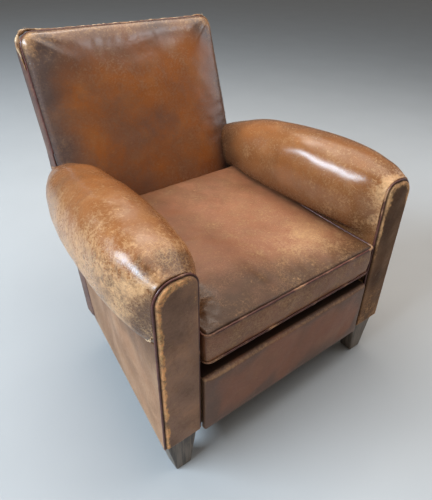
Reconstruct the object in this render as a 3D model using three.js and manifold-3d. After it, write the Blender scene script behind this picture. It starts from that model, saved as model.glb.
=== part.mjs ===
// A worn leather club chair, built as an upholsterer builds it: a beech frame on four tapered feet,
// webbing and coil springs, padding, and separate leather covers with piped seams.
// Millimetres. +X is the right-hand side as seen from the front, +Y the back, +Z up.
import * as THREE from 'three';
import { mergeVertices } from 'three/addons/utils/BufferGeometryUtils.js';
import Module from 'manifold-3d';

const wasm = await Module();
wasm.setup();

// ---------------------------------------------------------------------------------------------
// Driving dimensions
// ---------------------------------------------------------------------------------------------
const GAP = 0.4; // clearance kept between neighbouring pieces
const LEATHER = 3; // hide with its lining
const HALF_WIDTH = 360; // outer edge of the arm facings
const SEAT_HALF = 264; // inner faces of the arms beside the cushion
const SKIRT_Z = 115; // lower edge of the leather
const SIDE_TAPER = 60 / 475; // the sides draw in towards the back
const BACK_FOOT_Y = 475; // front seam plane of the back at SKIRT_Z
const RAKE = Math.atan(0.343); // lean of the back
const BACK_TOP_V = 752; // height of the back, measured up its slope
const BACK_THICK = 46; // boxed thickness of the back
const BACK_BULGE = 29; // how far the inside back stands proud of its seam
const CORNER_RADIUS = 35; // top corners of the back
const FACING_TOP = 557;
const FACING_BACK = 12; // rear face of a facing
const FACING_FRONT = 1.2; // front face of a facing, just behind the crown of its piping
const PIPING = 2.8; // radius of every piped cord
const CUSHION_LOW = 314;
const CUSHION_WELT = 393;
const CUSHION_RISE = 16; // the cushion is thicker towards the back
const CUSHION_CROWN = 18;
const RAIL_TOP = 200;

const HIDE = { color: 0x8a5534, roughness: 0.45 };
const HIDE_DARK = { color: 0x5b4034, roughness: 0.5 };
const PIPE = { color: 0x4a1f1b, roughness: 0.5 };
const BEECH = { color: 0xb98b5a, roughness: 0.7 };
const FOOT_WOOD = { color: 0x4c4238, roughness: 0.6 };
const JUTE = { color: 0x9c8560, roughness: 0.95 };
const STUFFING = { color: 0xc9b896, roughness: 1.0 };
const STEEL = { color: 0x8d8f91, roughness: 0.35, metalness: 0.9 };

// ---------------------------------------------------------------------------------------------
// Geometry helpers
// ---------------------------------------------------------------------------------------------
// Closed solid through a list of rings with equal point counts; the end rings are capped.
function loft(rings, closedLoop = false) {
  const count = rings[0].length;
  const positions = rings.flat(2);
  const index = [];
  const spans = closedLoop ? rings.length : rings.length - 1;
  for (let k = 0; k < spans; k += 1) {
    const next = (k + 1) % rings.length;
    for (let i = 0; i < count; i += 1) {
      const j = (i + 1) % count;
      index.push(k * count + i, k * count + j, next * count + j);
      index.push(k * count + i, next * count + j, next * count + i);
    }
  }
  if (!closedLoop) {
    const last = (rings.length - 1) * count;
    for (const [a, b, c] of capFaces(rings[0])) index.push(c, b, a);
    for (const [a, b, c] of capFaces(rings.at(-1))) index.push(last + a, last + b, last + c);
  }
  const geometry = new THREE.BufferGeometry();
  geometry.setAttribute('position', new THREE.Float32BufferAttribute(positions, 3));
  geometry.setIndex(index);
  return outward(geometry);
}

// Triangles of a near-flat ring, found in the plane where the ring is largest and given in ring order.
function capFaces(ring) {
  const normal = new THREE.Vector3();
  ring.forEach((p, i) => {
    const q = ring[(i + 1) % ring.length];
    normal.x += (p[1] - q[1]) * (p[2] + q[2]);
    normal.y += (p[2] - q[2]) * (p[0] + q[0]);
    normal.z += (p[0] - q[0]) * (p[1] + q[1]);
  });
  const size = normal.toArray().map(Math.abs);
  const drop = size.indexOf(Math.max(...size));
  const [u, v] = [[1, 2], [2, 0], [0, 1]][drop];
  const flat = ring.map((p) => new THREE.Vector2(p[u], p[v]));
  const turn = THREE.ShapeUtils.isClockWise(flat) ? -1 : 1;
  const faces = THREE.ShapeUtils.triangulateShape(flat, []);
  return faces.map(([a, b, c]) => {
    const area = new THREE.Vector2().subVectors(flat[b], flat[a])
      .cross(new THREE.Vector2().subVectors(flat[c], flat[a]));
    return area * turn > 0 ? [a, b, c] : [a, c, b];
  });
}

// Turns every face of a closed mesh outwards if its signed volume is negative.
function outward(geometry) {
  const p = geometry.attributes.position;
  const index = geometry.index.array;
  const [a, b, c] = [new THREE.Vector3(), new THREE.Vector3(), new THREE.Vector3()];
  let volume = 0;
  for (let i = 0; i < index.length; i += 3) {
    a.fromBufferAttribute(p, index[i]);
    b.fromBufferAttribute(p, index[i + 1]);
    c.fromBufferAttribute(p, index[i + 2]);
    volume += a.dot(b.cross(c));
  }
  if (volume < 0) geometry.setIndex(Array.from(index).reverse());
  return geometry;
}

function solidOf(geometry) {
  const bare = geometry.clone();
  bare.deleteAttribute('normal');
  bare.deleteAttribute('uv');
  const merged = mergeVertices(bare, 1e-4);
  const vertProperties = new Float32Array(merged.attributes.position.array);
  const triVerts = new Uint32Array(merged.index.array);
  return new wasm.Manifold(new wasm.Mesh({ numProp: 3, vertProperties, triVerts }));
}

// First geometry with the others cut away.
function cut(geometry, ...tools) {
  const result = tools.reduce((body, tool) => body.subtract(solidOf(tool)), solidOf(geometry));
  const mesh = result.getMesh();
  const out = new THREE.BufferGeometry();
  out.setAttribute('position', new THREE.BufferAttribute(new Float32Array(mesh.vertProperties), 3));
  out.setIndex(new THREE.BufferAttribute(new Uint32Array(mesh.triVerts), 1));
  return out;
}

function mirror(geometry) {
  const copy = geometry.clone().applyMatrix4(new THREE.Matrix4().makeScale(-1, 1, 1));
  if (!copy.index) return outward(mergeVertices(copy));
  return outward(copy);
}

function box(x0, x1, y0, y1, z0, z1) {
  const geometry = new THREE.BoxGeometry(x1 - x0, y1 - y0, z1 - z0);
  return geometry.translate((x0 + x1) / 2, (y0 + y1) / 2, (z0 + z1) / 2);
}

// Round cord along a flat path whose plane has the given normal.
function cord(points, normal, radius, closed = false) {
  const sides = 6;
  const n = points.length;
  const rings = points.map((p, i) => {
    const before = points[closed ? (i + n - 1) % n : Math.max(i - 1, 0)];
    const after = points[closed ? (i + 1) % n : Math.min(i + 1, n - 1)];
    const along = new THREE.Vector3(...after).sub(new THREE.Vector3(...before)).normalize();
    const across = new THREE.Vector3().crossVectors(along, normal).normalize();
    const ring = [];
    for (let k = 0; k < sides; k += 1) {
      const turn = (k / sides) * Math.PI * 2;
      const offset = across.clone().multiplyScalar(Math.cos(turn) * radius)
        .addScaledVector(normal, Math.sin(turn) * radius);
      ring.push([p[0] + offset.x, p[1] + offset.y, p[2] + offset.z]);
    }
    return ring;
  });
  return loft(rings, closed);
}

// Points of an arc, in degrees, as [u, v] pairs.
function arc(u, v, radius, from, to, steps) {
  const points = [];
  for (let i = 0; i <= steps; i += 1) {
    const angle = THREE.MathUtils.degToRad(from + ((to - from) * i) / steps);
    points.push([u + radius * Math.cos(angle), v + radius * Math.sin(angle)]);
  }
  return points;
}

// Smooth curve through [position, value] pairs.
function profile(pairs) {
  return (at) => {
    const last = pairs.length - 1;
    const k = Math.min(Math.max(pairs.findIndex(([p]) => p > at), 1), last);
    const i = at >= pairs[last][0] ? last : k;
    const [x0, y0] = pairs[i - 1];
    const [x1, y1] = pairs[i];
    const slope = (j) => {
      const lo = pairs[Math.max(j - 1, 0)];
      const hi = pairs[Math.min(j + 1, last)];
      return (hi[1] - lo[1]) / (hi[0] - lo[0]);
    };
    const t = THREE.MathUtils.clamp((at - x0) / (x1 - x0), 0, 1);
    const span = x1 - x0;
    const h00 = (1 + 2 * t) * (1 - t) ** 2;
    const h10 = t * (1 - t) ** 2;
    const h01 = t * t * (3 - 2 * t);
    const h11 = t * t * (t - 1);
    return h00 * y0 + h10 * span * slope(i - 1) + h01 * y1 + h11 * span * slope(i);
  };
}

// ---------------------------------------------------------------------------------------------
// Shared surfaces
// ---------------------------------------------------------------------------------------------
const seamY = (z) => BACK_FOOT_Y + (z - SKIRT_Z) * Math.tan(RAKE);
const sideX = (y) => HALF_WIDTH - SIDE_TAPER * y;

// A point of the back: x across, depth behind the front seam plane, height v up the slope.
function backPoint(x, depth, v) {
  const up = Math.max(v, depth * Math.tan(RAKE));
  return [
    x,
    BACK_FOOT_Y + up * Math.sin(RAKE) + depth * Math.cos(RAKE),
    SKIRT_Z + up * Math.cos(RAKE) - depth * Math.sin(RAKE),
  ];
}

// Half outline of the back in (x, v), from the skirt up and round the top corner to the centre.
const BACK_HALF = 279;
const BACK_HALF_LOW = 300;
const ARM_TOP_V = 470;

function backOutline(inset, bottomV = 0, lowHalf = BACK_HALF_LOW) {
  const half = BACK_HALF - inset;
  const radius = Math.max(CORNER_RADIUS - inset, 5);
  const top = BACK_TOP_V - inset;
  const right = [
    [lowHalf - inset, bottomV + inset],
    [THREE.MathUtils.lerp(lowHalf, BACK_HALF, 0.9) - inset, ARM_TOP_V - 30],
    [half, ARM_TOP_V + 10],
    [half, (ARM_TOP_V + BACK_TOP_V) / 2],
    ...arc(half - radius, top - radius, radius, 0, 90, 4),
    [half / 3, top],
  ];
  const left = right.map(([x, v]) => [-x, v]).reverse();
  return [...right, ...left];
}

// Arm roll: outer and inner reach, top height, and the section's exponent, along the arm.
const rollOuter = profile([[12, 362], [60, 383], [150, 393], [260, 389], [380, 378], [480, 360],
  [560, 332], [640, 294], [660, 284]]);
const rollInner = profile([[12, 261], [80, 229], [200, 210], [400, 204], [520, 214], [600, 236]]);
const rollTop = profile([[12, 563], [60, 582], [150, 596], [260, 603], [380, 590], [500, 571], [640, 516]]);
// Squareness of the section: it matches the facing at the front and is rounder behind.
const rollPower = profile([[0, 3.2], [90, 2.5], [700, 2.4]]);
const ROLL_MID_Z = 486;
const ROLL_DROP = 83; // underside of the roll outside, below its widest level
const ROLL_DROP_INNER = 58; // and inside, above the cushion
const INNER_FOOT_Z = 292;
const INNER_WALL = 12; // padded wall below the roll, beside the cushion
const ROLL_END_Y = 655;
const ROLL_CLEAR_DEPTH = 240;

function rollPoint(y, degrees, inset) {
  const outer = rollOuter(y) - inset;
  const inner = rollInner(y) + inset;
  const angle = THREE.MathUtils.degToRad(degrees);
  const c = Math.cos(angle);
  const s = Math.sin(angle);
  const drop = c > 0 ? ROLL_DROP : ROLL_DROP_INNER;
  const rise = s > 0 ? rollTop(y) - inset - ROLL_MID_Z : drop - inset;
  const power = 2 / rollPower(y);
  const x = (outer + inner) / 2 + ((outer - inner) / 2) * Math.sign(c) * Math.abs(c) ** power;
  const z = ROLL_MID_Z + rise * Math.sign(s) * Math.abs(s) ** power;
  return [x, z];
}

// Section of the right-hand arm at y: round the roll and down the inner wall to the seat.
function armSection(y, inset) {
  const wall = SEAT_HALF + inset;
  const ring = [-62, -38, -18, 0, 18, 36, 54, 72, 90, 108, 126, 144, 162, 180]
    .map((degrees) => rollPoint(y, degrees, inset));
  for (const degrees of [200, 222]) {
    const [x, z] = rollPoint(y, degrees, inset);
    ring.push([Math.min(x, wall), z]);
  }
  const behind = wall + INNER_WALL - 2 * inset;
  ring.push([wall, ROLL_MID_Z - ROLL_DROP_INNER + inset], [wall, INNER_FOOT_Z]);
  ring.push([behind, INNER_FOOT_Z], [behind, ROLL_MID_Z - ROLL_DROP + inset]);
  return ring.map(([x, z]) => [x, y, z]);
}

const ARM_STATIONS = [6.6, 40, 80, 130, 200, 280, 360, 440, 500, 550, 595, 630, ROLL_END_Y];

function armBody(inset, front = ARM_STATIONS[0]) {
  const stations = [front, ...ARM_STATIONS.slice(1)];
  stations[stations.length - 1] -= inset;
  return loft(stations.map((y) => armSection(y, inset)));
}

// Height of the roll's underside above a point of the side panel.
function rollUnderside(y, x) {
  const outer = rollOuter(y);
  const inner = rollInner(y);
  const reach = Math.min(Math.abs(x - (outer + inner) / 2) / ((outer - inner) / 2), 1);
  const power = rollPower(y);
  return ROLL_MID_Z - ROLL_DROP * (1 - reach ** power) ** (1 / power);
}

// ---------------------------------------------------------------------------------------------
// Group and node helpers
// ---------------------------------------------------------------------------------------------
const chair = new THREE.Group();

function add(name, geometry, look) {
  const mesh = new THREE.Mesh(geometry, new THREE.MeshStandardMaterial(look));
  mesh.name = name;
  chair.add(mesh);
  return mesh;
}

function addPair(name, geometry, look) {
  add(`${name}_right`, geometry, look);
  add(`${name}_left`, mirror(geometry), look);
}

// ---------------------------------------------------------------------------------------------
// Beech frame
// ---------------------------------------------------------------------------------------------
const POST = { x0: 274, x1: 334, y0: 13, y1: 56, z0: 112.4, z1: 526 };
const RAIL_BOTTOM = 118;
const SIDE_RAIL = 31;
const FRONT_RAIL = { y0: 14, y1: 44, z1: 273 };
const BACK_RAIL = { half: 264, y0: 434, y1: 472 };
const REAR_POST = { low: [246, 284], high: [233, 271], v0: 14 }; // x ranges at its foot and top
const BACK_FRAME_DEPTH = [6, 40];
const BACK_FRAME_TOP = BACK_TOP_V - 22;
const TOP_RAIL = { half: 232, height: 44 };
const STAY_RAIL = { half: 236, v0: 200, v1: 240 };
const ARM_BOARD = { z0: 372, z1: 392, inner: 277 };

// Board inside the tapered outside panel, from the front post to the back; innerX gives its inner edge.
function sideBoard(innerX, z0, z1) {
  const front = POST.y1 + GAP;
  const outer = (y) => sideX(y) - LEATHER - GAP;
  const ring = (z) => {
    const end = seamY(z) - GAP;
    return [
      [outer(front), front, z],
      [outer(end), end, z],
      [innerX(end), end, z],
      [innerX(front), front, z],
    ];
  };
  return loft([ring(z0), ring(z1)]);
}

// Upright or rail inside the boxed back, given by its x ranges at both ends, depths and slope heights.
function backBoard(low, high, depths, v0, v1) {
  const ring = ([xa, xb], v) => [
    backPoint(xa, depths[0], v),
    backPoint(xb, depths[0], v),
    backPoint(xb, depths[1], v),
    backPoint(xa, depths[1], v),
  ];
  return loft([ring(low, v0), ring(high, v1)]);
}

// The same, level and centred.
const backRail = (half, depths, v0, v1) => backBoard([-half, half], [-half, half], depths, v0, v1);

function buildFrame() {
  addPair('front_post', box(POST.x0, POST.x1, POST.y0, POST.y1, POST.z0, POST.z1), BEECH);
  add('front_rail', box(-POST.x0 + GAP, POST.x0 - GAP, FRONT_RAIL.y0, FRONT_RAIL.y1,
    RAIL_BOTTOM, FRONT_RAIL.z1), BEECH);
  add('back_rail', box(-BACK_RAIL.half, BACK_RAIL.half, BACK_RAIL.y0, BACK_RAIL.y1,
    RAIL_BOTTOM, RAIL_TOP), BEECH);
  addPair('side_rail', sideBoard((y) => sideX(y) - SIDE_RAIL, RAIL_BOTTOM, RAIL_TOP), BEECH);
  addPair('arm_board', sideBoard(() => ARM_BOARD.inner, ARM_BOARD.z0, ARM_BOARD.z1), BEECH);
  addPair('rear_post', backBoard(REAR_POST.low, REAR_POST.high, BACK_FRAME_DEPTH,
    REAR_POST.v0, BACK_FRAME_TOP), BEECH);
  add('back_top_rail', backRail(TOP_RAIL.half, BACK_FRAME_DEPTH, BACK_FRAME_TOP - TOP_RAIL.height,
    BACK_FRAME_TOP), BEECH);
  add('back_stay_rail', backRail(STAY_RAIL.half, BACK_FRAME_DEPTH, STAY_RAIL.v0, STAY_RAIL.v1), BEECH);
}

// ---------------------------------------------------------------------------------------------
// Feet
// ---------------------------------------------------------------------------------------------
const FRONT_FOOT = { top: [274, 350, 10, 62], bottom: [290, 329, 13, 52], height: 112 };
const REAR_FOOT = {
  top: [220, BACK_RAIL.half, BACK_RAIL.y0, BACK_RAIL.y1],
  bottom: [212, 248, 462, 494],
  height: 117.6,
};

function foot({ top, bottom, height }) {
  const ring = ([x0, x1, y0, y1], z) => [[x0, y0, z], [x1, y0, z], [x1, y1, z], [x0, y1, z]];
  return loft([ring(bottom, 0), ring(top, height)]);
}

function buildFeet() {
  addPair('front_foot', foot(FRONT_FOOT), FOOT_WOOD);
  addPair('rear_foot', foot(REAR_FOOT), FOOT_WOOD);
}

// ---------------------------------------------------------------------------------------------
// Webbing, springs and seat padding
// ---------------------------------------------------------------------------------------------
const STRAP = { width: 50, thick: 2.2 };
const SPRING_ROWS = [-150, 0, 150];
const SPRING_COLUMNS = [120, 245, 370];
const SPRING = { bottom: 120, top: 262, wide: 38, waist: 26, wire: 2, turns: 4 };
const HESSIAN = { thick: 2, foot: RAIL_TOP + 2, top: 266 };
const TRAY_LOW = { half: 256, y0: 54, y1: 430 }; // inside of the hessian tray at its foot
const TRAY_HIGH = { half: 200, y0: 76, y1: 414 }; // and over the springs
const SEAT_BACK_Y = 500;
const DECK_TOP = CUSHION_LOW - 1;
const DECK_EDGE = 281; // height of the deck over the front rail
const DECK_CLOTH = 2.4;

function coilSpring(x, y) {
  const perTurn = 8;
  const steps = SPRING.turns * perTurn;
  const points = [];
  for (let i = 0; i <= steps; i += 1) {
    const t = i / steps;
    const turn = t * SPRING.turns * Math.PI * 2;
    const radius = THREE.MathUtils.lerp(SPRING.waist, SPRING.wide, (2 * t - 1) ** 2);
    const z = THREE.MathUtils.lerp(SPRING.bottom, SPRING.top, t);
    points.push(new THREE.Vector3(x + radius * Math.cos(turn), y + radius * Math.sin(turn), z));
  }
  const wire = new THREE.Shape(arc(0, 0, SPRING.wire, 0, 288, 4).map(([u, v]) => new THREE.Vector2(u, v)));
  const path = new THREE.CatmullRomCurve3(points);
  return new THREE.ExtrudeGeometry(wire, { steps, extrudePath: path });
}

// Ring of the hessian tray at height z, spread outwards.
function trayRing({ half, y0, y1 }, spread, z) {
  const [x, near, far] = [half + spread, y0 - spread, y1 + spread];
  return [[-x, near, z], [x, near, z], [x, far, z], [-x, far, z]];
}

// Tray shape over the springs, straight below its foot down to start.
function trayBody(spread, start, foot, top) {
  const low = [start, foot].map((z) => trayRing(TRAY_LOW, spread, z));
  return loft([...low, trayRing(TRAY_HIGH, spread, top)]);
}

// Seat deck section in (y, z): low at the front edge, rising to the level deck.
function deckSection(drop, front, back) {
  const line = [[front, DECK_EDGE], [60, DECK_EDGE + 15], [110, DECK_TOP], [back, DECK_TOP]];
  return line.map(([y, z]) => [y, z - drop]);
}

// Solid with a (y, z) outline, running across the seat.
function acrossSeat(outline, half) {
  return loft([-half, half].map((x) => outline.map(([y, z]) => [x, y, z])));
}

function buildSeat() {
  SPRING_ROWS.forEach((x, i) => {
    add(`seat_webbing_long_${i + 1}`, box(x - STRAP.width / 2, x + STRAP.width / 2, 22, 470,
      RAIL_BOTTOM - GAP - STRAP.thick, RAIL_BOTTOM - GAP), JUTE);
  });
  SPRING_COLUMNS.forEach((y, i) => {
    const reach = sideX(y) - 10;
    const top = RAIL_BOTTOM - 2 * GAP - STRAP.thick;
    add(`seat_webbing_cross_${i + 1}`, box(-reach, reach, y - STRAP.width / 2, y + STRAP.width / 2,
      top - STRAP.thick, top), JUTE);
  });
  SPRING_COLUMNS.forEach((y, row) => {
    SPRING_ROWS.forEach((x, column) => {
      add(`seat_spring_${row * SPRING_ROWS.length + column + 1}`, coilSpring(x, y), STEEL);
    });
  });
  const { thick, foot: footZ, top } = HESSIAN;
  const outside = loft([trayRing(TRAY_LOW, thick, footZ), trayRing(TRAY_HIGH, thick, top)]);
  add('seat_hessian', cut(outside, trayBody(0, footZ - thick, footZ, top - thick)), JUTE);

  const padBase = footZ + GAP;
  const padFront = FRONT_RAIL.y1 + GAP;
  const padTop = deckSection(LEATHER + GAP, padFront, SEAT_BACK_Y);
  const pad = acrossSeat([[padFront, padBase], ...padTop, [SEAT_BACK_Y, padBase]], SEAT_HALF - 4);
  add('seat_pad', cut(pad, trayBody(thick + 1, padBase - 1, padBase + 1, top + GAP)), STUFFING);

  const deckTop = deckSection(0, padFront, SEAT_BACK_Y);
  const deckUnder = deckSection(DECK_CLOTH, padFront, SEAT_BACK_Y).reverse();
  add('seat_deck_cover', acrossSeat([...deckTop, ...deckUnder], SEAT_HALF - 2), HIDE_DARK);
}

// ---------------------------------------------------------------------------------------------
// Back
// ---------------------------------------------------------------------------------------------
const INSIDE_BACK_FOOT_V = 208;
const INSIDE_BACK_FOOT_HALF = 250;
const BACK_EDGE = PIPING + 0.8;
const BACK_STRAPS = [330, 470, 610]; // slope heights of the back webbing

// Puffed panel of the inside back, from a depth in the back to its crown.
function insideBackBody(inset, startDepth) {
  const steps = [[1.5, 9], [6, 15], [15, 20], [36, 25], [90, BACK_BULGE]]; // draw-in, forward
  const ring = (draw, depth) => backOutline(draw, INSIDE_BACK_FOOT_V, INSIDE_BACK_FOOT_HALF)
    .map(([x, v]) => backPoint(x, depth, v));
  const puff = steps.map(([draw, forward]) => ring(inset + draw, inset - forward));
  const seam = ring(inset, inset - BACK_EDGE);
  return loft(startDepth > inset - BACK_EDGE ? [ring(inset, startDepth), seam, ...puff] : [seam, ...puff]);
}

function buildBack(arms) {
  BACK_STRAPS.forEach((v, i) => {
    const depths = [3, 3 + STRAP.thick];
    add(`back_webbing_${i + 1}`, backRail(250, depths, v, v + STRAP.width), JUTE);
  });
  add('back_pad', cut(insideBackBody(LEATHER + PIPING, 2.4), ...arms), STUFFING);
  const cover = cut(insideBackBody(0, -BACK_EDGE), insideBackBody(LEATHER, 4), ...arms);
  add('inside_back_cover', cover, HIDE);

  const outer = backOutline(0);
  const inner = backOutline(LEATHER).reverse();
  const band = [...outer, ...inner];
  const slab = (outline, depths) => loft(depths.map((d) => outline.map(([x, v]) => backPoint(x, d, v))));
  const panelDepth = BACK_THICK + GAP;
  add('back_border', slab(band, [BACK_EDGE, BACK_THICK]), HIDE_DARK);
  add('outside_back_panel', slab(backOutline(0.5), [panelDepth, panelDepth + LEATHER]), HIDE_DARK);

  const seam = backOutline(1).filter(([, v]) => v > ARM_TOP_V);
  const start = [BACK_HALF - 1, ARM_TOP_V - 4];
  const line = [start, ...seam, [-start[0], start[1]]].map(([x, v]) => backPoint(x, 0, v));
  const normal = new THREE.Vector3(0, Math.cos(RAKE), -Math.sin(RAKE));
  add('back_piping', cord(line, normal, PIPING), PIPE);
}

// ---------------------------------------------------------------------------------------------
// Arms
// ---------------------------------------------------------------------------------------------
// Outline of a facing in (x, z), drawn in by inset, from its outer foot round to its inner foot.
function facingOutline(inset) {
  const outer = HALF_WIDTH - inset;
  const inner = SEAT_HALF + 1 + inset;
  const top = FACING_TOP - inset;
  const wide = 45 - inset;
  const tight = 30 - inset;
  return [
    [outer, SKIRT_Z + Math.max(inset, 0)],
    ...arc(outer - wide, top - wide, wide, 0, 90, 5),
    ...arc(inner + tight, top - tight, tight, 90, 180, 4),
    [inner, SKIRT_Z + Math.max(inset, 0)],
  ];
}

const PANEL_FRONT = 13;
const FACING_HIDE = 2;
const FACING_INSET = 2 * PIPING + GAP;

const flatRing = (outline, y) => outline.map(([x, z]) => [x, y, z]);

function outsidePanel() {
  const ys = [PANEL_FRONT, 60, 110, 160, 250, 350, 450, 540];
  const top = ys.map((y) => [y, rollUnderside(y, sideX(y) - LEATHER) - 2 * LEATHER]);
  const rearTop = 402;
  const rear = [rearTop, SKIRT_Z].map((z) => [seamY(z) - GAP, z]);
  const outline = [[PANEL_FRONT, SKIRT_Z], ...top, ...rear];
  const ring = (inset) => outline.map(([y, z]) => [sideX(y) - inset, y, z]);
  return loft([ring(0), ring(LEATHER)]);
}

// Space inside an arm's leather, open below behind the inner wall.
function armHollow(front) {
  const stations = [0, front, ...ARM_STATIONS.slice(1, -1), ROLL_END_Y - LEATHER];
  const openFoot = INNER_FOOT_Z - 10;
  const openTop = ROLL_MID_Z - ROLL_DROP - 30;
  return loft(stations.map((y) => {
    const ring = armSection(Math.max(y, front), LEATHER).slice(0, -3).map(([x, , z]) => [x, y, z]);
    const wall = ring.at(-1)[0];
    const open = wall + 30;
    return [...ring, [wall, y, openFoot], [open, y, openFoot], [open, y, openTop]];
  }));
}

// Space taken by the boxed back, which the arms stay clear of.
function backClearance() {
  const outline = backOutline(-GAP, -40);
  return loft([-GAP, ROLL_CLEAR_DEPTH].map((d) => outline.map(([x, v]) => backPoint(x, d, v))));
}

function buildArms() {
  const back = backClearance();
  const post = box(POST.x0 - GAP, POST.x1 + GAP, 0, POST.y1 + GAP, 0, POST.z1 + GAP);
  const padFront = FACING_BACK + GAP;
  addPair('arm_pad', cut(armBody(LEATHER + GAP, padFront), back, post), STUFFING);
  const facingSpace = facingOutline(FACING_INSET - GAP);
  const facingRoom = loft([flatRing(facingSpace, 0), flatRing(facingSpace, padFront)]);
  addPair('arm_cover', cut(armBody(0), armHollow(padFront), back, facingRoom), HIDE);

  const face = facingOutline(FACING_INSET);
  const hollowFace = facingOutline(FACING_INSET + FACING_HIDE);
  const board = facingOutline(FACING_INSET + FACING_HIDE + GAP);
  const boardFront = FACING_FRONT + FACING_HIDE + GAP;
  const shell = cut(
    loft([flatRing(face, FACING_FRONT), flatRing(face, FACING_BACK)]),
    loft([flatRing(hollowFace, FACING_FRONT + FACING_HIDE), flatRing(hollowFace, FACING_BACK + FACING_HIDE)]),
  );
  addPair('arm_facing', shell, HIDE_DARK);
  addPair('facing_board', loft([flatRing(board, boardFront), flatRing(board, FACING_BACK)]), BEECH);
  const line = flatRing(facingOutline(PIPING), GAP + PIPING);
  addPair('facing_piping', cord(line, new THREE.Vector3(0, 1, 0), PIPING), PIPE);
  addPair('outside_arm_panel', outsidePanel(), HIDE);
}

// ---------------------------------------------------------------------------------------------
// Front rail cover and seat cushion
// ---------------------------------------------------------------------------------------------
const RAIL_COVER_LOW = 108;
const RAIL_COVER_FRONT = -6;

// Padded panel that wraps the front and top of the front rail.
function buildFrontRailCover() {
  const under = FRONT_RAIL.z1 + GAP;
  const top = under + LEATHER;
  const inner = FRONT_RAIL.y0 - GAP;
  const front = RAIL_COVER_FRONT;
  const face = [[front, RAIL_COVER_LOW], [front, top - 5], [front + 5, top]];
  const rear = [[FRONT_RAIL.y1, top], [FRONT_RAIL.y1, under]];
  const outline = [...face, ...rear, [inner, under], [inner, RAIL_COVER_LOW]];
  add('front_rail_cover', acrossSeat(outline, SEAT_HALF - 4), HIDE_DARK);
}

const CUSHION = { half: 255.5, front: 0, corner: 10 };

// Rounded outline of the cushion at a height, drawn in by inset; its rear edge follows the back.
function cushionOutline(z, inset) {
  const half = CUSHION.half - inset;
  const front = CUSHION.front + inset;
  const rear = seamY(z) - BACK_BULGE / Math.cos(RAKE) - 8 - inset;
  const r = Math.max(CUSHION.corner - inset, 6);
  const middle = [0.25, 0.5, 0.75].map((t) => THREE.MathUtils.lerp(front, rear, t));
  return [
    ...arc(half - r, front + r, r, -90, 0, 3),
    ...middle.map((y) => [half, y]),
    ...arc(half - r, rear - r, r, 0, 90, 3),
    [0, rear],
    ...arc(-half + r, rear - r, r, 90, 180, 3),
    ...middle.map((y) => [-half, y]).reverse(),
    ...arc(-half + r, front + r, r, 180, 270, 3),
    [0, front],
  ];
}

// Height of the top welt, which climbs towards the back.
const weltZ = (y) => CUSHION_WELT + CUSHION_RISE * THREE.MathUtils.smoothstep(y, 0, 420);

function buildCushion() {
  const side = [[0, 5], [5, 0], [38, -1.5]].map(([up, inset]) => {
    const z = CUSHION_LOW + up;
    return cushionOutline(z, inset).map(([x, y]) => [x, y, z]);
  });
  const dome = [[-3, 0], [4, 6], [9, 26], [13, 64], [16, 120], [CUSHION_CROWN, 200]].map(([up, inset]) =>
    cushionOutline(CUSHION_WELT + CUSHION_RISE + up, inset).map(([x, y]) => [x, y, weltZ(y) + up]));
  add('seat_cushion', loft([...side, ...dome]), HIDE);
  const weltInset = -PIPING - 1.2;
  const topLine = cushionOutline(CUSHION_WELT + CUSHION_RISE, weltInset).map(([x, y]) => [x, y, weltZ(y)]);
  const lowZ = CUSHION_LOW + PIPING + 0.7;
  const lowLine = cushionOutline(lowZ, weltInset).map(([x, y]) => [x, y, lowZ]);
  add('cushion_piping_top', cord(topLine, new THREE.Vector3(0, 0, 1), PIPING, true), PIPE);
  add('cushion_piping_bottom', cord(lowLine, new THREE.Vector3(0, 0, 1), PIPING, true), PIPE);
}

// ---------------------------------------------------------------------------------------------
// Assembly, with the origin on the floor under the middle of the chair
// ---------------------------------------------------------------------------------------------
buildFrame();
buildFeet();
buildSeat();
const rightArm = armBody(-GAP);
buildBack([rightArm, mirror(rightArm)]);
buildArms();
buildFrontRailCover();
buildCushion();

const extent = new THREE.Box3().setFromObject(chair, true);
chair.position.set(0, -(extent.min.y + extent.max.y) / 2, -extent.min.z);

export default chair;
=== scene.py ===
"""Looks of a worn leather club chair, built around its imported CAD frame. Metres, +Z up, +Y back."""
import math
import bmesh
import bpy
import numpy as np
from mathutils import Matrix, Vector
from mathutils.bvhtree import BVHTree


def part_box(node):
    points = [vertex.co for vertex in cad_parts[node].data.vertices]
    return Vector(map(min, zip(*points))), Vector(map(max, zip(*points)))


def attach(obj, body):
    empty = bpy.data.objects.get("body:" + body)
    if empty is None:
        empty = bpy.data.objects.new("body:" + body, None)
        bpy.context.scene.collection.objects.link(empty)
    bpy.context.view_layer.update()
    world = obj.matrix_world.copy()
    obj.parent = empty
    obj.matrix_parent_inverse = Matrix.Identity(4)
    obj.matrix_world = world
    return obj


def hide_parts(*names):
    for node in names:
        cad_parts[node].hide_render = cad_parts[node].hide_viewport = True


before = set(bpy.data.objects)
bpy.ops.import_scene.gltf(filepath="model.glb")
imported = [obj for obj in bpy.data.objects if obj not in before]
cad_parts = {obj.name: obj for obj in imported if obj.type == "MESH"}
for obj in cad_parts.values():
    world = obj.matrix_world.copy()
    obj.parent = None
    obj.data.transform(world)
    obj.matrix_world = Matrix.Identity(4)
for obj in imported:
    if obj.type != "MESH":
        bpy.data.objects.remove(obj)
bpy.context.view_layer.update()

# ---- Driving dimensions: x and z are the frame's, and y is measured from the front of the facings ----
FACING_FRONT = 0.0012  # from the front of the CAD facing back to y = 0
FRONT_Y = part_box("arm_facing_left")[0].y - FACING_FRONT
HALF_WIDTH = 0.360  # outer edge of the facings
SEAT_HALF = 0.264  # inner walls of the arms
SKIRT_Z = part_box("outside_arm_panel_left")[0].z  # lower edge of the facings and outside panels
SIDE_TAPER = 60 / 475  # how fast the outsides of the arms draw in towards the back
LEATHER = 0.003
PIPING = 0.0028  # radius of the piping on the back and the cushion

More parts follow.
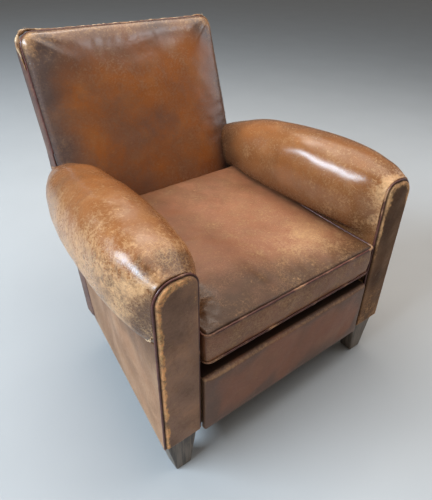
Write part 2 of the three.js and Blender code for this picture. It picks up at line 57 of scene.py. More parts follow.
# The back leans; v is height up its slope, and depth is square to the slope, from its front seam.
BACK_FOOT_Y = 0.475
LEAN = 0.343
RAKE = math.atan(LEAN)
DOWN_SLOPE = (0, math.cos(RAKE), -math.sin(RAKE))
BACK_TOP_V = 0.752
BACK_FOOT_V = 0.208  # lower edge of the inside back
ARM_TOP_V = 0.470  # where the tops of the arms meet the back
BACK_THICK = 0.046
BACK_BULGE = 0.029  # room for the padding of the inside back, in front of its seam
BACK_LEATHER_REAR = 0.0024
BACK_HALF = 0.279
BACK_HALF_ARMS = 0.2811
BACK_HALF_LOW = 0.300
BACK_CORNER = 0.035
BACK_CORNERS = ((1, 1, BACK_CORNER), (-1, 1, BACK_CORNER))
BACK_GAP = 0.0008  # between the back and the arm beside it

FACING_TOP = 0.557
FACING_INSET = 0.0042  # from the facing's outline, where its piping runs, in to its leather
FACING_EDGE_Y = 0.0040  # front edge of the facing's leather, before it swells forward
FACING_BACK_Y = 0.0122
FACING_TURN = 0.0065  # width of the facing's rounded edge
FACING_SWELL, FACING_CROWN = 0.0046, 0.0022  # how far that edge, and then the middle, stand forward
FACING_CORD = 0.0026  # radius of the piping round a facing
FACING_CORD_Y = 0.0074
PANEL_FRONT_Y = 0.0075  # front edge of the panel outside an arm
PANEL_TOP_Z = 0.425

CUSHION_HALF = 0.2555
CUSHION_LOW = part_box("seat_cushion")[0].z
CUSHION_WELT = 0.393  # height of the upper seam at the front
CUSHION_RISE = 0.016  # how much higher that seam is at the rear
CUSHION_CORNERS = ((1, 1, 0.02), (-1, 1, 0.02), (1, -1, 0.010), (-1, -1, 0.010))
CUSHION_GAP = 0.0016  # between the cushion and the arm that rests on it
CUSHION_REAR_GAP = 0.008  # between the cushion and the padded back
CUSHION_RIDGE = 0.012  # extra fullness along the rear
CUSHION_TUCK = 0.0045  # how far the edge of the underside is drawn up
RAIL_LOW, RAIL_HIGH = (corner.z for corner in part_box("front_rail_cover"))

ROLL_MID_Z = 0.486
ROLL_DROP = 0.083  # from the middle of the roll down to its underside
ROLL_DROP_INNER = 0.090  # the same on the side of the seat
ROLL_DROP_REAR = 0.052  # and at the rear end
INNER_FOOT_Z = 0.292  # lower edge of the arm's leather beside the cushion
ROLL_START_Y = 0.019  # first whole section of the roll, behind its rounded front
ROLL_END_Y = 0.655
ROLL_POINTS = 84  # round a section of the roll
ROLL_STEP = 0.0075  # from section to section

# Spacing of the points of a fine, a padded and a plain panel, and along a piping.
FINE_GRID, PADDED_GRID, PANEL_GRID, CORD_STEP = 0.0028, 0.0065, 0.009, 0.003

# Reach and height of the arm roll along the arm, and the squareness of its section.
ROLL_OUTER = ((0.012, 0.3612), (0.060, 0.383), (0.150, 0.393), (0.260, 0.389), (0.380, 0.378),
              (0.480, 0.360), (0.560, 0.332), (0.640, 0.294), (0.660, 0.284))
ROLL_INNER = ((0.012, 0.261), (0.080, 0.229), (0.200, 0.210), (0.400, 0.204), (0.520, 0.214),
              (0.600, 0.236))
ROLL_TOP = ((0.012, 0.560), (0.060, 0.582), (0.150, 0.596), (0.260, 0.603), (0.380, 0.590),
            (0.500, 0.571), (0.640, 0.516))
ROLL_POWER = ((0.0, 3.2), (0.090, 2.5), (0.700, 2.4))

# Rounded ends of the roll: y, or distance before the rear end, and how far in the section is.
ROLL_FRONT = ((0.0135, 0.010), (0.0098, 0.005), (0.0088, 0.0018), (0.0100, 0.0), (0.0138, 0.0))
ROLL_REAR = ((0.0035, 0.001), (0.001, 0.004), (0, 0.009))

# Fullness of the inside back and of the cushion's top, by distance from their seams.
BACK_PUFF = ((0, 0.0026), (0.0015, 0.007), (0.006, 0.0125), (0.015, 0.0175), (0.036, 0.0225),
             (0.090, 0.0265), (0.25, 0.028))
CUSHION_CROWN = ((0, 0), (0.006, 0.0040), (0.020, 0.0095), (0.045, 0.0135), (0.090, 0.0165), (0.260, 0.018))


# ---- Numbers and shapes ----
def smooth(low, high, value):
    """Smooth rise from 0 to 1 as value goes from low to high."""
    t = np.clip((np.asarray(value, float) - low) / (high - low), 0, 1)
    return t * t * (3 - 2 * t)


def fade(low, high, value):
    """Smooth fall from 1 to 0 as value goes from low to high."""
    return 1 - smooth(low, high, value)


def spot(x, y, centre, size):
    """Soft patch of height 1 about a place."""
    return np.exp(-(((x - centre[0]) / size[0]) ** 2 + ((y - centre[1]) / size[1]) ** 2))


def xyz(x, y, z):
    """Points from their coordinates, each an array or one number."""
    return np.stack(np.broadcast_arrays(x, y, z), -1)


def unit(vector):
    return np.asarray(vector, float) / np.linalg.norm(vector)


def lerp(a, b, t):
    return a + (b - a) * t


def profile(pairs, at):
    """Smooth curve through (position, value) pairs, held level past its ends."""
    x, y = np.array(pairs, float).T
    slope = np.gradient(y, x)
    slope[1:-1] = (y[2:] - y[:-2]) / (x[2:] - x[:-2])
    at = np.clip(np.asarray(at, float), x[0], x[-1])
    i = np.clip(np.searchsorted(x, at, side="right") - 1, 0, len(x) - 2)
    span = x[i + 1] - x[i]
    t = (at - x[i]) / span
    start = (1 + 2 * t) * (1 - t) ** 2 * y[i] + t * (1 - t) ** 2 * span * slope[i]
    end = t * t * (3 - 2 * t) * y[i + 1] + t * t * (t - 1) * span * slope[i + 1]
    return start + end


def waves(points, length, seed, stretch=(1, 1, 1)):
    """Seeded smooth unevenness of about unit height, with ripples near one wavelength."""
    count = 14
    rng = np.random.default_rng(seed)
    way = rng.normal(size=(count, 3))
    way /= np.linalg.norm(way, axis=1, keepdims=True)
    way /= length * rng.uniform(0.7, 1.5, (count, 1))
    turns = 2 * math.pi * ((np.asarray(points) * stretch) @ way.T + rng.uniform(0, 1, count))
    return np.sin(turns).sum(-1) * math.sqrt(2 / count)


def seam_y(z):
    """Front seam of the back, which leans."""
    return BACK_FOOT_Y + (z - SKIRT_Z) * LEAN


def side_x(y):
    """Outside of the arm, which tapers towards the back."""
    return HALF_WIDTH - SIDE_TAPER * y


def back_point(x, depth, v):
    """Points of the back: across, depth behind its front seam, and height up its slope."""
    up = np.maximum(v, depth * LEAN)
    y = BACK_FOOT_Y + up * math.sin(RAKE) + depth * math.cos(RAKE)
    return xyz(x, y, SKIRT_Z + up * math.cos(RAKE) - depth * math.sin(RAKE))


def on_slope(points):
    """Depth of points behind the back's front seam, and their height up its slope."""
    y, z = points[..., 1] - BACK_FOOT_Y, points[..., 2] - SKIRT_Z
    return y * math.cos(RAKE) - z * math.sin(RAKE), y * math.sin(RAKE) + z * math.cos(RAKE)


def back_half(v):
    """Half width of the back, which flares below the arms."""
    return np.interp(v, (0, ARM_TOP_V - 0.03, ARM_TOP_V + 0.01), (BACK_HALF_LOW, BACK_HALF_ARMS, BACK_HALF))


def from_corner(u, v, low, high, corner):
    """Centre of a rounded corner (x end, y end, radius), and how far past it the points are."""
    x_end, y_end, radius = corner
    cx = (high[0] - radius) if x_end > 0 else (low[0] + radius)
    cy = (high[1] - radius) if y_end > 0 else (low[1] + radius)
    return cx, cy, (u - cx) * x_end, (v - cy) * y_end


def rounded_grid(low, high, corners, spacing):
    """Even grid over a rectangle whose corners are rounded."""
    counts = [max(int(round((b - a) / spacing)), 4) + 1 for a, b in zip(low, high)]
    u, v = np.meshgrid(*(np.linspace(a, b, n) for a, b, n in zip(low, high, counts)), indexing="ij")
    for corner in corners:
        x_end, y_end, radius = corner
        cx, cy, s, t = from_corner(u, v, low, high, corner)
        inside = (s > 0) & (t > 0)
        s, t = s[inside] / radius, t[inside] / radius
        u[inside] = cx + x_end * radius * s * np.sqrt(1 - t * t / 2)
        v[inside] = cy + y_end * radius * t * np.sqrt(1 - s * s / 2)
    return u, v


def edge_distance(u, v, low, high, corners):
    """Distance from points of such a grid to its outline, inwards."""
    distance = np.minimum.reduce([u - low[0], high[0] - u, v - low[1], high[1] - v])
    for corner in corners:
        s, t = from_corner(u, v, low, high, corner)[2:]
        distance = np.where((s > 0) & (t > 0), corner[2] - np.hypot(s, t), distance)
    return np.maximum(distance, 0)


def arc(cx, cy, radius, turns):
    """Points round a circle, at angles given in degrees."""
    return [[cx + radius * math.cos(a), cy + radius * math.sin(a)] for a in np.radians(turns)]


def border_loop(rows, columns):
    """Indices of a grid's border, in order round it."""
    index = np.arange(rows * columns).reshape(rows, columns)
    return np.concatenate([index[:-1, 0], index[-1, :-1], index[:0:-1, -1], index[0, :0:-1]])


def grid_faces(rows, columns, offset=0, wrap=False):
    """Quads between the points of a grid, whose last column may meet its first."""
    index = offset + np.arange(rows * columns).reshape(rows, columns)
    if wrap:
        index = np.concatenate([index, index[:, :1]], 1)
    corners = (index[:-1, :-1], index[1:, :-1], index[1:, 1:], index[:-1, 1:])
    return np.stack(corners, -1).reshape(-1, 4).tolist()


# ---- Pieces ----
def add_object(name, data):
    thing = bpy.data.objects.new(name, data)
    bpy.context.scene.collection.objects.link(thing)
    return thing


def make_piece(name, points, faces, material, replaces, mirror=False):
    """A smooth closed mesh that rides on the chair, from points whose y starts at the facings."""
    place = np.array(points, float)
    if mirror:
        place[:, 0] *= -1
    place[:, 1] += FRONT_Y
    mesh = bpy.data.meshes.new(name)
    mesh.from_pydata(place.tolist(), [], faces)
    shape = bmesh.new()
    shape.from_mesh(mesh)
    bmesh.ops.recalc_face_normals(shape, faces=shape.faces)
    shape.to_mesh(mesh)
    shape.free()
    mesh.shade_smooth()
    mesh.materials.append(material)
    piece = add_object(name, mesh)
    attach(piece, "root")
    if replaces:
        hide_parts(*replaces)
    return piece


def vertex_values(mesh, key):
    values = np.empty(len(mesh.vertices) * 3)
    mesh.vertices.foreach_get(key, values)
    return values.reshape(-1, 3)


def points_of(piece):
    """Vertex positions, with y measured from the facings."""
    return vertex_values(piece.data, "co") - (0, FRONT_Y, 0)


def set_points(piece, points):
    piece.data.vertices.foreach_set("co", (points + np.array((0, FRONT_Y, 0))).ravel())
    piece.data.update()


def paint(piece, **masks):
    """Stores masks from 0 to 1 on the vertices, for the materials to read."""
    for name, values in masks.items():
        layer = piece.data.attributes.new(name, "FLOAT", "POINT")
        values = np.broadcast_to(np.clip(values, 0, 1), len(piece.data.vertices))
        layer.data.foreach_set("value", values.astype(np.float32))


def push(piece, amount):
    """Moves each vertex along its normal."""
    set_points(piece, points_of(piece) + vertex_values(piece.data, "normal") * amount[:, None])


def inflate(piece, held, pressure, cap, extra, stiff, frames):
    """Swells a padded piece with Cloth, its seams held and its hide larger by a part, extra.
    The padding inside holds the cover back, so that the furthest point moves by cap."""
    seams = piece.vertex_groups.new(name="seams")
    seams.add([int(i) for i in np.flatnonzero(held)], 1.0, "REPLACE")
    cloth = piece.modifiers.new("Cloth", "CLOTH")
    cloth.point_cache.frame_start = 1
    cloth.point_cache.frame_end = frames
    settings = cloth.settings
    settings.quality = 5
    settings.mass = 0.3
    settings.tension_stiffness = stiff
    settings.compression_stiffness = stiff
    settings.shear_stiffness = stiff / 2
    settings.bending_stiffness = 0.6
    settings.use_pressure = True
    settings.uniform_pressure_force = pressure
    settings.shrink_min = -extra
    settings.vertex_group_mass = "seams"
    settings.effector_weights.gravity = 0
    scene = bpy.context.scene
    for step in range(1, frames + 1):
        scene.frame_set(step)
    shaped = piece.evaluated_get(bpy.context.evaluated_depsgraph_get()).to_mesh()
    after = vertex_values(shaped, "co") - (0, FRONT_Y, 0)
    piece.modifiers.remove(cloth)
    scene.frame_set(1)
    before = points_of(piece)
    move = after - before
    furthest = max(np.linalg.norm(move, axis=1).max(), 1e-9)
    set_points(piece, before + move * min(1.0, cap / furthest))


def subdivide(piece):
    """One smooth subdivision, applied."""
    modifier = piece.modifiers.new("Smooth", "SUBSURF")
    modifier.levels = 1
    modifier.render_levels = 1
    bpy.context.view_layer.objects.active = piece
    with bpy.context.temp_override(object=piece, active_object=piece):
        bpy.ops.object.modifier_apply(modifier=modifier.name)
    piece.data.shade_smooth()


def slab(front, back, edge_rows=1, bulge=0.0):
    """Closed shape between two grids of points: (points, faces). Its edge may bulge outwards."""
    rows, columns = front.shape[:2]
    loop = border_loop(rows, columns)
    count = rows * columns
    points = [front.reshape(-1, 3), back.reshape(-1, 3)]
    faces = grid_faces(rows, columns) + grid_faces(rows, columns, count)
    rings = [loop]
    near, far = points[0][loop], points[1][loop]
    middle = (near.mean(0) + far.mean(0)) / 2
    through = unit(far.mean(0) - near.mean(0))
    for k in range(1, edge_rows):
        t = k / edge_rows
        ring = lerp(near, far, t)
        away = ring - middle
        away -= (away @ through)[:, None] * through
        away /= np.maximum(np.linalg.norm(away, axis=1, keepdims=True), 1e-9)
        rings.append(sum(map(len, points)) + np.arange(len(loop)))
        points.append(ring + away * bulge * math.sin(math.pi * t))
    rings.append(count + loop)
    for a, b in zip(rings[:-1], rings[1:]):
        ahead, behind = np.roll(a, -1), np.roll(b, -1)
        faces += np.stack([a, ahead, behind, b], -1).tolist()
    return np.concatenate(points), faces


def resample(line, spacing=None, count=None, closed=False):
    """Points evenly spaced along a line: a given number of them, or about a spacing apart."""
    line = np.asarray(line, float)
    if closed:
        line = np.concatenate([line, line[:1]])
    along = np.concatenate([[0], np.cumsum(np.linalg.norm(np.diff(line, axis=0), axis=1))])
    count = count or max(int(round(along[-1] / spacing)), 3) + 1
    at = np.linspace(0, along[-1], count)
    if closed:
        at = at[:-1]
    return np.stack([np.interp(at, along, line[:, k]) for k in range(3)], -1)


def soften(line, rounds, closed=False):
    """Rounds the corners of an evenly spaced line."""
    for _ in range(rounds):
        ahead, behind = np.roll(line, -1, 0), np.roll(line, 1, 0)
        blend = line / 2 + (ahead + behind) / 4
        if not closed:
            blend[0], blend[-1] = line[0], line[-1]
        line = blend
    return line


def tube(line, radius, up, sides=10, closed=False):
    """Round cord along a line: (points, faces)."""
    line = np.asarray(line, float)
    ahead = np.roll(line, -1, 0) - np.roll(line, 1, 0)
    if not closed:
        ahead[0], ahead[-1] = line[1] - line[0], line[-1] - line[-2]
    ahead /= np.linalg.norm(ahead, axis=1, keepdims=True)
    across = np.cross(ahead, np.asarray(up, float))
    across /= np.linalg.norm(across, axis=1, keepdims=True)
    above = np.cross(across, ahead)
    turn = np.arange(sides) / sides * 2 * math.pi
    reach = np.broadcast_to(np.asarray(radius, float), (len(line),))[:, None, None]
    ring = np.cos(turn)[None, :, None] * across[:, None] + np.sin(turn)[None, :, None] * above[:, None]
    points = line[:, None] + ring * reach
    faces = grid_faces(len(line), sides, wrap=True)
    if closed:
        last = (len(line) - 1) * sides
        for k in range(sides):
            faces.append([last + k, k, (k + 1) % sides, last + (k + 1) % sides])
        return points.reshape(-1, 3), faces
    faces.append(list(range(sides)))
    faces.append(list(range((len(line) - 1) * sides, len(line) * sides)))
    return points.reshape(-1, 3), faces


# ---- Materials ----
class Shader:
    """A node material, built with short calls."""

    def __init__(self, name):
        self.material = bpy.data.materials.new(name)
        self.material.use_nodes = True
        self.tree = self.material.node_tree
        self.surface = self.tree.nodes["Principled BSDF"]
        self.place = self.make("ShaderNodeTexCoord").outputs["Object"]

    def make(self, kind, links=(), **settings):
        node = self.tree.nodes.new(kind)
        for key, value in settings.items():
            setattr(node, key, value)
        for socket, value in dict(links).items():
            self.put(node.inputs[socket], value)
        return node

    def put(self, socket, value):
        if isinstance(value, bpy.types.NodeSocket):
            self.tree.links.new(value, socket)
        else:
            socket.default_value = value

    def maths(self, operation, a, b, clamp=False):
        return self.make("ShaderNodeMath", {0: a, 1: b}, operation=operation, use_clamp=clamp).outputs[0]

    def add(self, a, b):
        return self.maths("ADD", a, b)

    def less(self, a, b):
        return self.maths("SUBTRACT", a, b)

    def times(self, a, b):
        return self.maths("MULTIPLY", a, b)

    def step(self, value, low, high):
        """Smooth rise from 0 to 1 as value goes from low to high."""
        links = {"Value": value, "From Min": low, "From Max": high}
        node = self.make("ShaderNodeMapRange", links, interpolation_type="SMOOTHSTEP")
        return node.outputs["Result"]

    def mask(self, name):
        return self.make("ShaderNodeAttribute", attribute_name=name).outputs["Fac"]

    def stretch(self, size, turn=(0, 0, 0), place=None):
        """Coordinates turned, then counted in grains of the given size along each axis."""
        links = {"Vector": place or self.place, "Scale": size, "Rotation": turn}
        return self.make("ShaderNodeMapping", links, vector_type="TEXTURE").outputs["Vector"]

    def centred(self, value, amount):
        return self.times(self.less(value, 0.5), amount)

    def noise(self, scale, detail, rough=0.55, twist=0.0, place=None):
        links = {"Vector": place or self.place, "Scale": scale, "Detail": detail,
                 "Roughness": rough, "Distortion": twist}
        return self.make("ShaderNodeTexNoise", links).outputs["Fac"]

    def cells(self, scale, place, feature="F1"):
        links = {"Vector": place, "Scale": scale}
        return self.make("ShaderNodeTexVoronoi", links, feature=feature).outputs["Distance"]

    def warped(self, scale, amount):
        """Coordinates pushed about by noise, so that cells lose their straight edges."""
        links = {"Vector": self.place, "Scale": scale, "Detail": 3.0}
        push_by = self.make("ShaderNodeTexNoise", links).outputs["Color"]
        shift = self.make("ShaderNodeVectorMath", {0: push_by, 1: (0.5, 0.5, 0.5)}, operation="SUBTRACT")
        links = {0: shift.outputs[0], "Scale": amount}
        scaled = self.make("ShaderNodeVectorMath", links, operation="SCALE")
        return self.make("ShaderNodeVectorMath", {0: self.place, 1: scaled.outputs[0]}).outputs[0]

    def mix(self, amount, a, b):
        node = self.make("ShaderNodeMix", data_type="RGBA")
        for socket, value in ((0, amount), (6, a), (7, b)):
            self.put(node.inputs[socket], self.colour(value))
        return node.outputs[2]

    @staticmethod
    def colour(value):
        return (*value, 1.0) if isinstance(value, tuple) and len(value) == 3 else value

    def look(self, sockets):
        """Sets sockets of the surface, by name."""
        for socket, value in sockets.items():
            self.put(self.surface.inputs[socket], value)

    def bump(self, height, distance, strength):
        links = {"Height": height, "Distance": distance, "Strength": strength}
        if self.surface.inputs["Normal"].links:
            links["Normal"] = self.surface.inputs["Normal"].links[0].from_socket
        node = self.make("ShaderNodeBump", links)
        self.put(self.surface.inputs["Normal"], node.outputs["Normal"])


def hairlines(s, place, size, turn, low):
    """Fine scratches that all run one way."""
    return s.step(s.noise(1.0, 2.0, 0.5, place=s.stretch(size, turn, place)), low, low + 0.10)


def leather(name, base, deep, worn, roughness, mottle, coat, specular):
    """Old hide: its base colour, the deep colour that it darkens to, and its worn colour.
    The masks dark, wear, grime, crackle, edge and shine are painted on each piece; edge is painted shade,
    blending to near black in seams, grooves, tucks and gaps."""
    s = Shader(name)
    dark, wear, grime = s.mask("dark"), s.mask("wear"), s.mask("grime")
    crackle, edge, shine = s.mask("crackle"), s.mask("edge"), s.mask("shine")
    # Near black for the painted shade that the edge mask lays in seams, grooves and gaps.
    shade_black = tuple(c * 0.30 for c in deep)
    lighter = tuple((a + b) / 2 for a, b in zip(base, worn))
    shadow = tuple((a + b) / 2 for a, b in zip(base, deep))
    pale = tuple(min(c * 1.30, 0.8) for c in worn)
    broad = s.noise(7.0, 3.0, 0.5, 0.5)
    patches = s.noise(26.0, 6.0, 0.62, 0.6)
    fine = s.noise(150.0, 6.0, 0.72, 0.3)
    cloud = s.add(s.add(s.centred(broad, 0.7), s.centred(patches, 0.6)), s.centred(fine, 0.6))
    golden = s.step(s.add(s.noise(13.0, 5.0, 0.6, 0.8), s.centred(fine, 0.3)), 0.46, 0.66)
    colour = s.mix(s.times(golden, mottle * 0.6), base, lighter)
    colour = s.mix(s.times(s.step(cloud, -0.10, 0.22), mottle), colour, shadow)
    colour = s.mix(s.maths("ADD", dark, s.times(cloud, 0.6), clamp=True), colour, deep)
    rub = s.add(s.centred(patches, 1.0), s.centred(fine, 1.8))
    rub = s.times(s.step(s.add(wear, rub), 0.12, 1.05), s.step(wear, 0.0, 0.15))
    colour = s.mix(rub, colour, worn)
    blots = s.step(s.add(s.noise(46.0, 8.0, 0.72, 0.9), s.times(grime, 0.25)), 0.54, 0.82)
    colour = s.mix(s.times(s.times(blots, 0.75), s.step(grime, 0.0, 0.5)), colour, deep)
    veins = s.less(1.0, s.step(s.cells(150.0, s.warped(110.0, 0.012), "DISTANCE_TO_EDGE"), 0.0, 0.12))
    cracks = s.times(s.times(veins, s.step(s.noise(18.0, 4.0), 0.40, 0.58)), crackle)
    colour = s.mix(s.times(cracks, 0.45), colour, pale)
    wander = s.warped(14.0, 0.03)
    long = hairlines(s, wander, (0.0013, 0.030, 0.0020), (0.5, 0.9, 0.6), 0.64)
    cross = hairlines(s, wander, (0.020, 0.0012, 0.0020), (1.1, 0.2, 2.0), 0.65)
    short = hairlines(s, wander, (0.0010, 0.0020, 0.011), (0.3, 1.3, 0.4), 0.63)
    strokes = s.maths("MAXIMUM", s.maths("MAXIMUM", long, cross), short)
    scuffed = s.maths("ADD", s.times(wear, 0.75), s.times(s.less(1.2, dark), 0.27), clamp=True)
    colour = s.mix(s.times(strokes, scuffed), colour, pale)
    nicks = s.less(1.0, s.step(s.cells(30.0, s.warped(200.0, 0.004)), 0.03, 0.05))
    colour = s.mix(s.times(nicks, 0.5), colour, pale)
    # Painted shade: near black wherever the edge mask is set.
    colour = s.mix(s.times(edge, 0.9), colour, shade_black)
    rough = s.add(s.add(roughness, s.times(cloud, 0.22)), s.add(s.times(rub, 0.10), s.centred(fine, 0.25)))
    rough = s.less(s.add(rough, s.times(strokes, 0.10)), s.times(shine, 0.10))
    s.look({"Base Color": colour, "Roughness": s.maths("MAXIMUM", rough, 0.16), "Coat Weight": coat,
            "Coat Roughness": 0.20, "Specular IOR Level": specular})
    s.bump(s.cells(620.0, s.warped(300.0, 0.0016)), 0.00022, 0.45)
    s.bump(s.add(s.noise(50.0, 5.0, 0.6), s.times(cracks, 0.3)), 0.0010, 0.5)
    s.bump(s.add(s.times(fine, s.add(wear, 0.15)), s.times(strokes, 0.15)), 0.0007, 0.6)
    return s.material


def piping_leather(name, base, worn):
    """Hide drawn tight over a cord, rubbed through to a paler colour here and there."""
    s = Shader(name)
    wear = s.mask("wear")
    patches = s.noise(34.0, 5.0, 0.65)
    fine = s.noise(260.0, 4.0, 0.6)
    rubbed = s.step(s.add(s.add(s.times(patches, 0.5), s.times(fine, 0.3)), s.times(wear, 0.7)), 0.62, 0.95)
    colour = s.mix(rubbed, s.mix(s.step(patches, 0.35, 0.7), tuple(c * 0.6 for c in base), base), worn)
    s.look({"Base Color": colour, "Roughness": s.add(0.38, s.times(rubbed, 0.3)), "Coat Weight": 0.1})
    s.bump(s.noise(420.0, 3.0, 0.6), 0.0004, 0.5)
    return s.material


def wood(name, base, deep, worn, along=(1.0, 1.0, 12.0)):
    """Straight-grained wood, with scuffs that show a paler colour."""
    s = Shader(name)
    stretched = s.stretch(along)
    grain = s.noise(160.0, 5.0, 0.6, 0.3, stretched)
    rings = s.noise(34.0, 3.0, 0.5, 1.0, stretched)
    colour = s.mix(s.step(s.add(s.times(grain, 0.6), s.times(rings, 0.4)), 0.38, 0.62), deep, base)
    scuffs = s.times(s.step(s.noise(70.0, 6.0, 0.7), 0.60, 0.72), 0.5)
    colour = s.mix(scuffs, colour, worn)
    s.look({"Base Color": colour, "Roughness": s.add(0.45, s.times(scuffs, 0.3))})
    s.bump(grain, 0.0006, 0.4)
    return s.material


def woven(name, base, deep, pitch, fuzz=0.25):
    """Plain weave: threads crossing in both directions, over and under."""
    s = Shader(name)
    links = {"Vector": s.place, "Scale": 1 / pitch, "Distortion": 0.6}
    threads = [s.make("ShaderNodeTexWave", links, bands_direction=way).outputs["Fac"] for way in "XY"]
    height = s.maths("MAXIMUM", *threads)
    colour = s.mix(s.times(height, s.add(s.noise(30.0, 5.0, 0.6), 0.3)), deep, base)
    s.look({"Base Color": colour, "Roughness": 0.92, "Sheen Weight": fuzz})
    s.bump(height, 0.0008, 0.6)
    return s.material


def steel(name):
    """Bare wire with spots of rust."""
    s = Shader(name)
    spots = s.noise(90.0, 6.0, 0.7)
    rust = s.step(spots, 0.56, 0.70)
    s.look({"Base Color": s.mix(rust, (0.42, 0.42, 0.43), (0.22, 0.09, 0.04)),
            "Metallic": s.less(1.0, rust), "Roughness": s.add(0.35, s.times(rust, 0.5))})
    s.bump(spots, 0.0004, 0.4)
    return s.material


def plain_floor(name):
    s = Shader(name)
    colour = s.mix(s.noise(3.0, 2.0), (0.50, 0.495, 0.485), (0.54, 0.535, 0.525))
    s.look({"Base Color": colour, "Roughness": 0.85})
    return s.material


def make_materials():
    """The looks by name. A hide has base, deep and worn colours, and then its roughness,
    mottling, coat and specular level."""
    hides = {
        "arm": ((0.320, 0.125, 0.042), (0.130, 0.062, 0.030), (0.67, 0.380, 0.185), 0.29, 0.5, 0.25, 0.45),
        # The back's greyish deep colour also serves as a painted sheen at its sides.
        "back": ((0.375, 0.130, 0.033), (0.138, 0.090, 0.074), (0.50, 0.275, 0.130), 0.29, 0.6, 0.3, 0.45),
        "cushion": ((0.350, 0.155, 0.084), (0.105, 0.050, 0.024), (0.52, 0.300, 0.150),
                    0.37, 0.5, 0.10, 0.35),
        "facing_left": ((0.390, 0.225, 0.150), (0.130, 0.074, 0.048), (0.95, 0.470, 0.210),
                        0.50, 0.5, 0.0, 0.25),
        "facing_right": ((0.340, 0.185, 0.100), (0.120, 0.062, 0.034), (0.80, 0.450, 0.225),
                         0.55, 0.5, 0.0, 0.15),
        "outside": ((0.380, 0.200, 0.110), (0.170, 0.088, 0.048), (0.58, 0.380, 0.235),
                    0.45, 0.6, 0.0, 0.22),
        "border": ((0.130, 0.048, 0.034), (0.060, 0.026, 0.022), (0.45, 0.240, 0.120), 0.36, 0.5, 0.1, 0.4),
        "rail": ((0.310, 0.135, 0.080), (0.165, 0.105, 0.078), (0.46, 0.270, 0.150), 0.40, 0.5, 0.05, 0.3),
    }
    looks = {part: leather(f"{part}_hide", *finish) for part, finish in hides.items()}
    looks.update({
        "piping": piping_leather("piping_hide", (0.170, 0.062, 0.046), (0.50, 0.28, 0.15)),
        "frayed": piping_leather("frayed_hide", (0.40, 0.22, 0.11), (0.66, 0.46, 0.28)),
        "foot": wood("foot_wood", (0.260, 0.205, 0.160), (0.105, 0.084, 0.068), (0.44, 0.34, 0.25)),
        "beech": wood("beech_wood", (0.50, 0.33, 0.19), (0.36, 0.22, 0.12), (0.56, 0.42, 0.28),
                      along=(12.0, 1.0, 1.0)),
        "jute": woven("jute_weave", (0.42, 0.31, 0.18), (0.20, 0.14, 0.08), 0.004),
        "stuffing": woven("stuffing_felt", (0.55, 0.48, 0.37), (0.36, 0.30, 0.22), 0.009, 0.5),
        "deck": woven("deck_weave", (0.030, 0.026, 0.024), (0.012, 0.010, 0.009), 0.0025),
        "steel": steel("spring_steel"),
        "floor": plain_floor("floor_paint"),
    })
    return looks


# ---- Arms ----
def arm_ring(y, inset):
    """Section of the right arm at y: from under the roll, over it and down the inner wall."""
    outer, inner = profile(ROLL_OUTER, y) - inset, profile(ROLL_INNER, y) + inset
    top, power = profile(ROLL_TOP, y) - inset, 2 / profile(ROLL_POWER, y)
    angle = np.radians(np.linspace(-66, 222, 500))
    c, s = np.cos(angle), np.sin(angle)
    hang = lerp(ROLL_DROP, ROLL_DROP_REAR, smooth(0.560, ROLL_END_Y, y))
    drop = np.where(c > 0, hang, np.minimum(ROLL_DROP_INNER, hang + 0.007)) - inset
    rise = np.where(s > 0, top - ROLL_MID_Z, drop)
    x = (outer + inner) / 2 + (outer - inner) / 2 * np.sign(c) * np.abs(c) ** power
    z = ROLL_MID_Z + rise * np.sign(s) * np.abs(s) ** power
    wall, back_wall = SEAT_HALF + inset, SEAT_HALF + 0.014
    x = np.where(angle > math.pi, np.minimum(x, wall), x)
    under = ROLL_MID_Z - hang + inset
    low = lerp(INNER_FOOT_Z, under - 0.002, smooth(0.475, 0.545, y))
    foot = [[wall, y, under - 0.001], [wall, y, low]]
    ring = resample(np.concatenate([xyz(x, y, z), foot]), count=ROLL_POINTS)
    for _ in range(2):
        ring[1:-1] = ring[1:-1] / 2 + (ring[2:] + ring[:-2]) / 4
    closing = [[back_wall, y, low], [back_wall, y, lerp(low, under, 0.5)], [back_wall + 0.01, y, under]]
    return np.concatenate([ring, closing])


def clear_of_back(points):
    """Moves points that reach into the boxed back to its side or in front of its seam,
    and ends them short of its rear."""
    x, y, z = points[..., 0], points[..., 1], points[..., 2]
    depth, up = on_slope(points)
    side = back_half(up) + BACK_GAP
    forward, outward = depth + 0.001, side - x
    inside = (forward > 0) & (outward > 0)
    pull = inside & (forward <= outward)
    moved = points.copy()
    moved[..., 0] = np.where(inside & ~pull, side, x)
    moved[..., 1] = np.where(pull, y - forward * math.cos(RAKE), y)
    moved[..., 2] = np.where(pull, z + forward * math.sin(RAKE), z)
    rear = seam_y(moved[..., 2]) + (BACK_THICK - LEATHER) / math.cos(RAKE)
    moved[..., 1] = np.minimum(moved[..., 1], rear)
    return moved


def rest_on_cushion(grid, cushion):
    """Lifts the inner foot of the roll clear of the cushion that it leans on."""
    shape = BVHTree.FromObject(cushion, bpy.context.evaluated_depsgraph_get())
    lifted = grid.copy()
    for index in zip(*np.nonzero((grid[..., 0] < CUSHION_HALF + 0.006) & (grid[..., 2] < 0.46))):
        x, y, z = grid[index]
        above = Vector((min(x, CUSHION_HALF - 0.001), y + FRONT_Y, 1.0))
        hit = shape.ray_cast(above, Vector((0, 0, -1)))[0]
        if hit is not None:
            lifted[index][2] = max(z, hit.z + CUSHION_GAP)
    return lifted


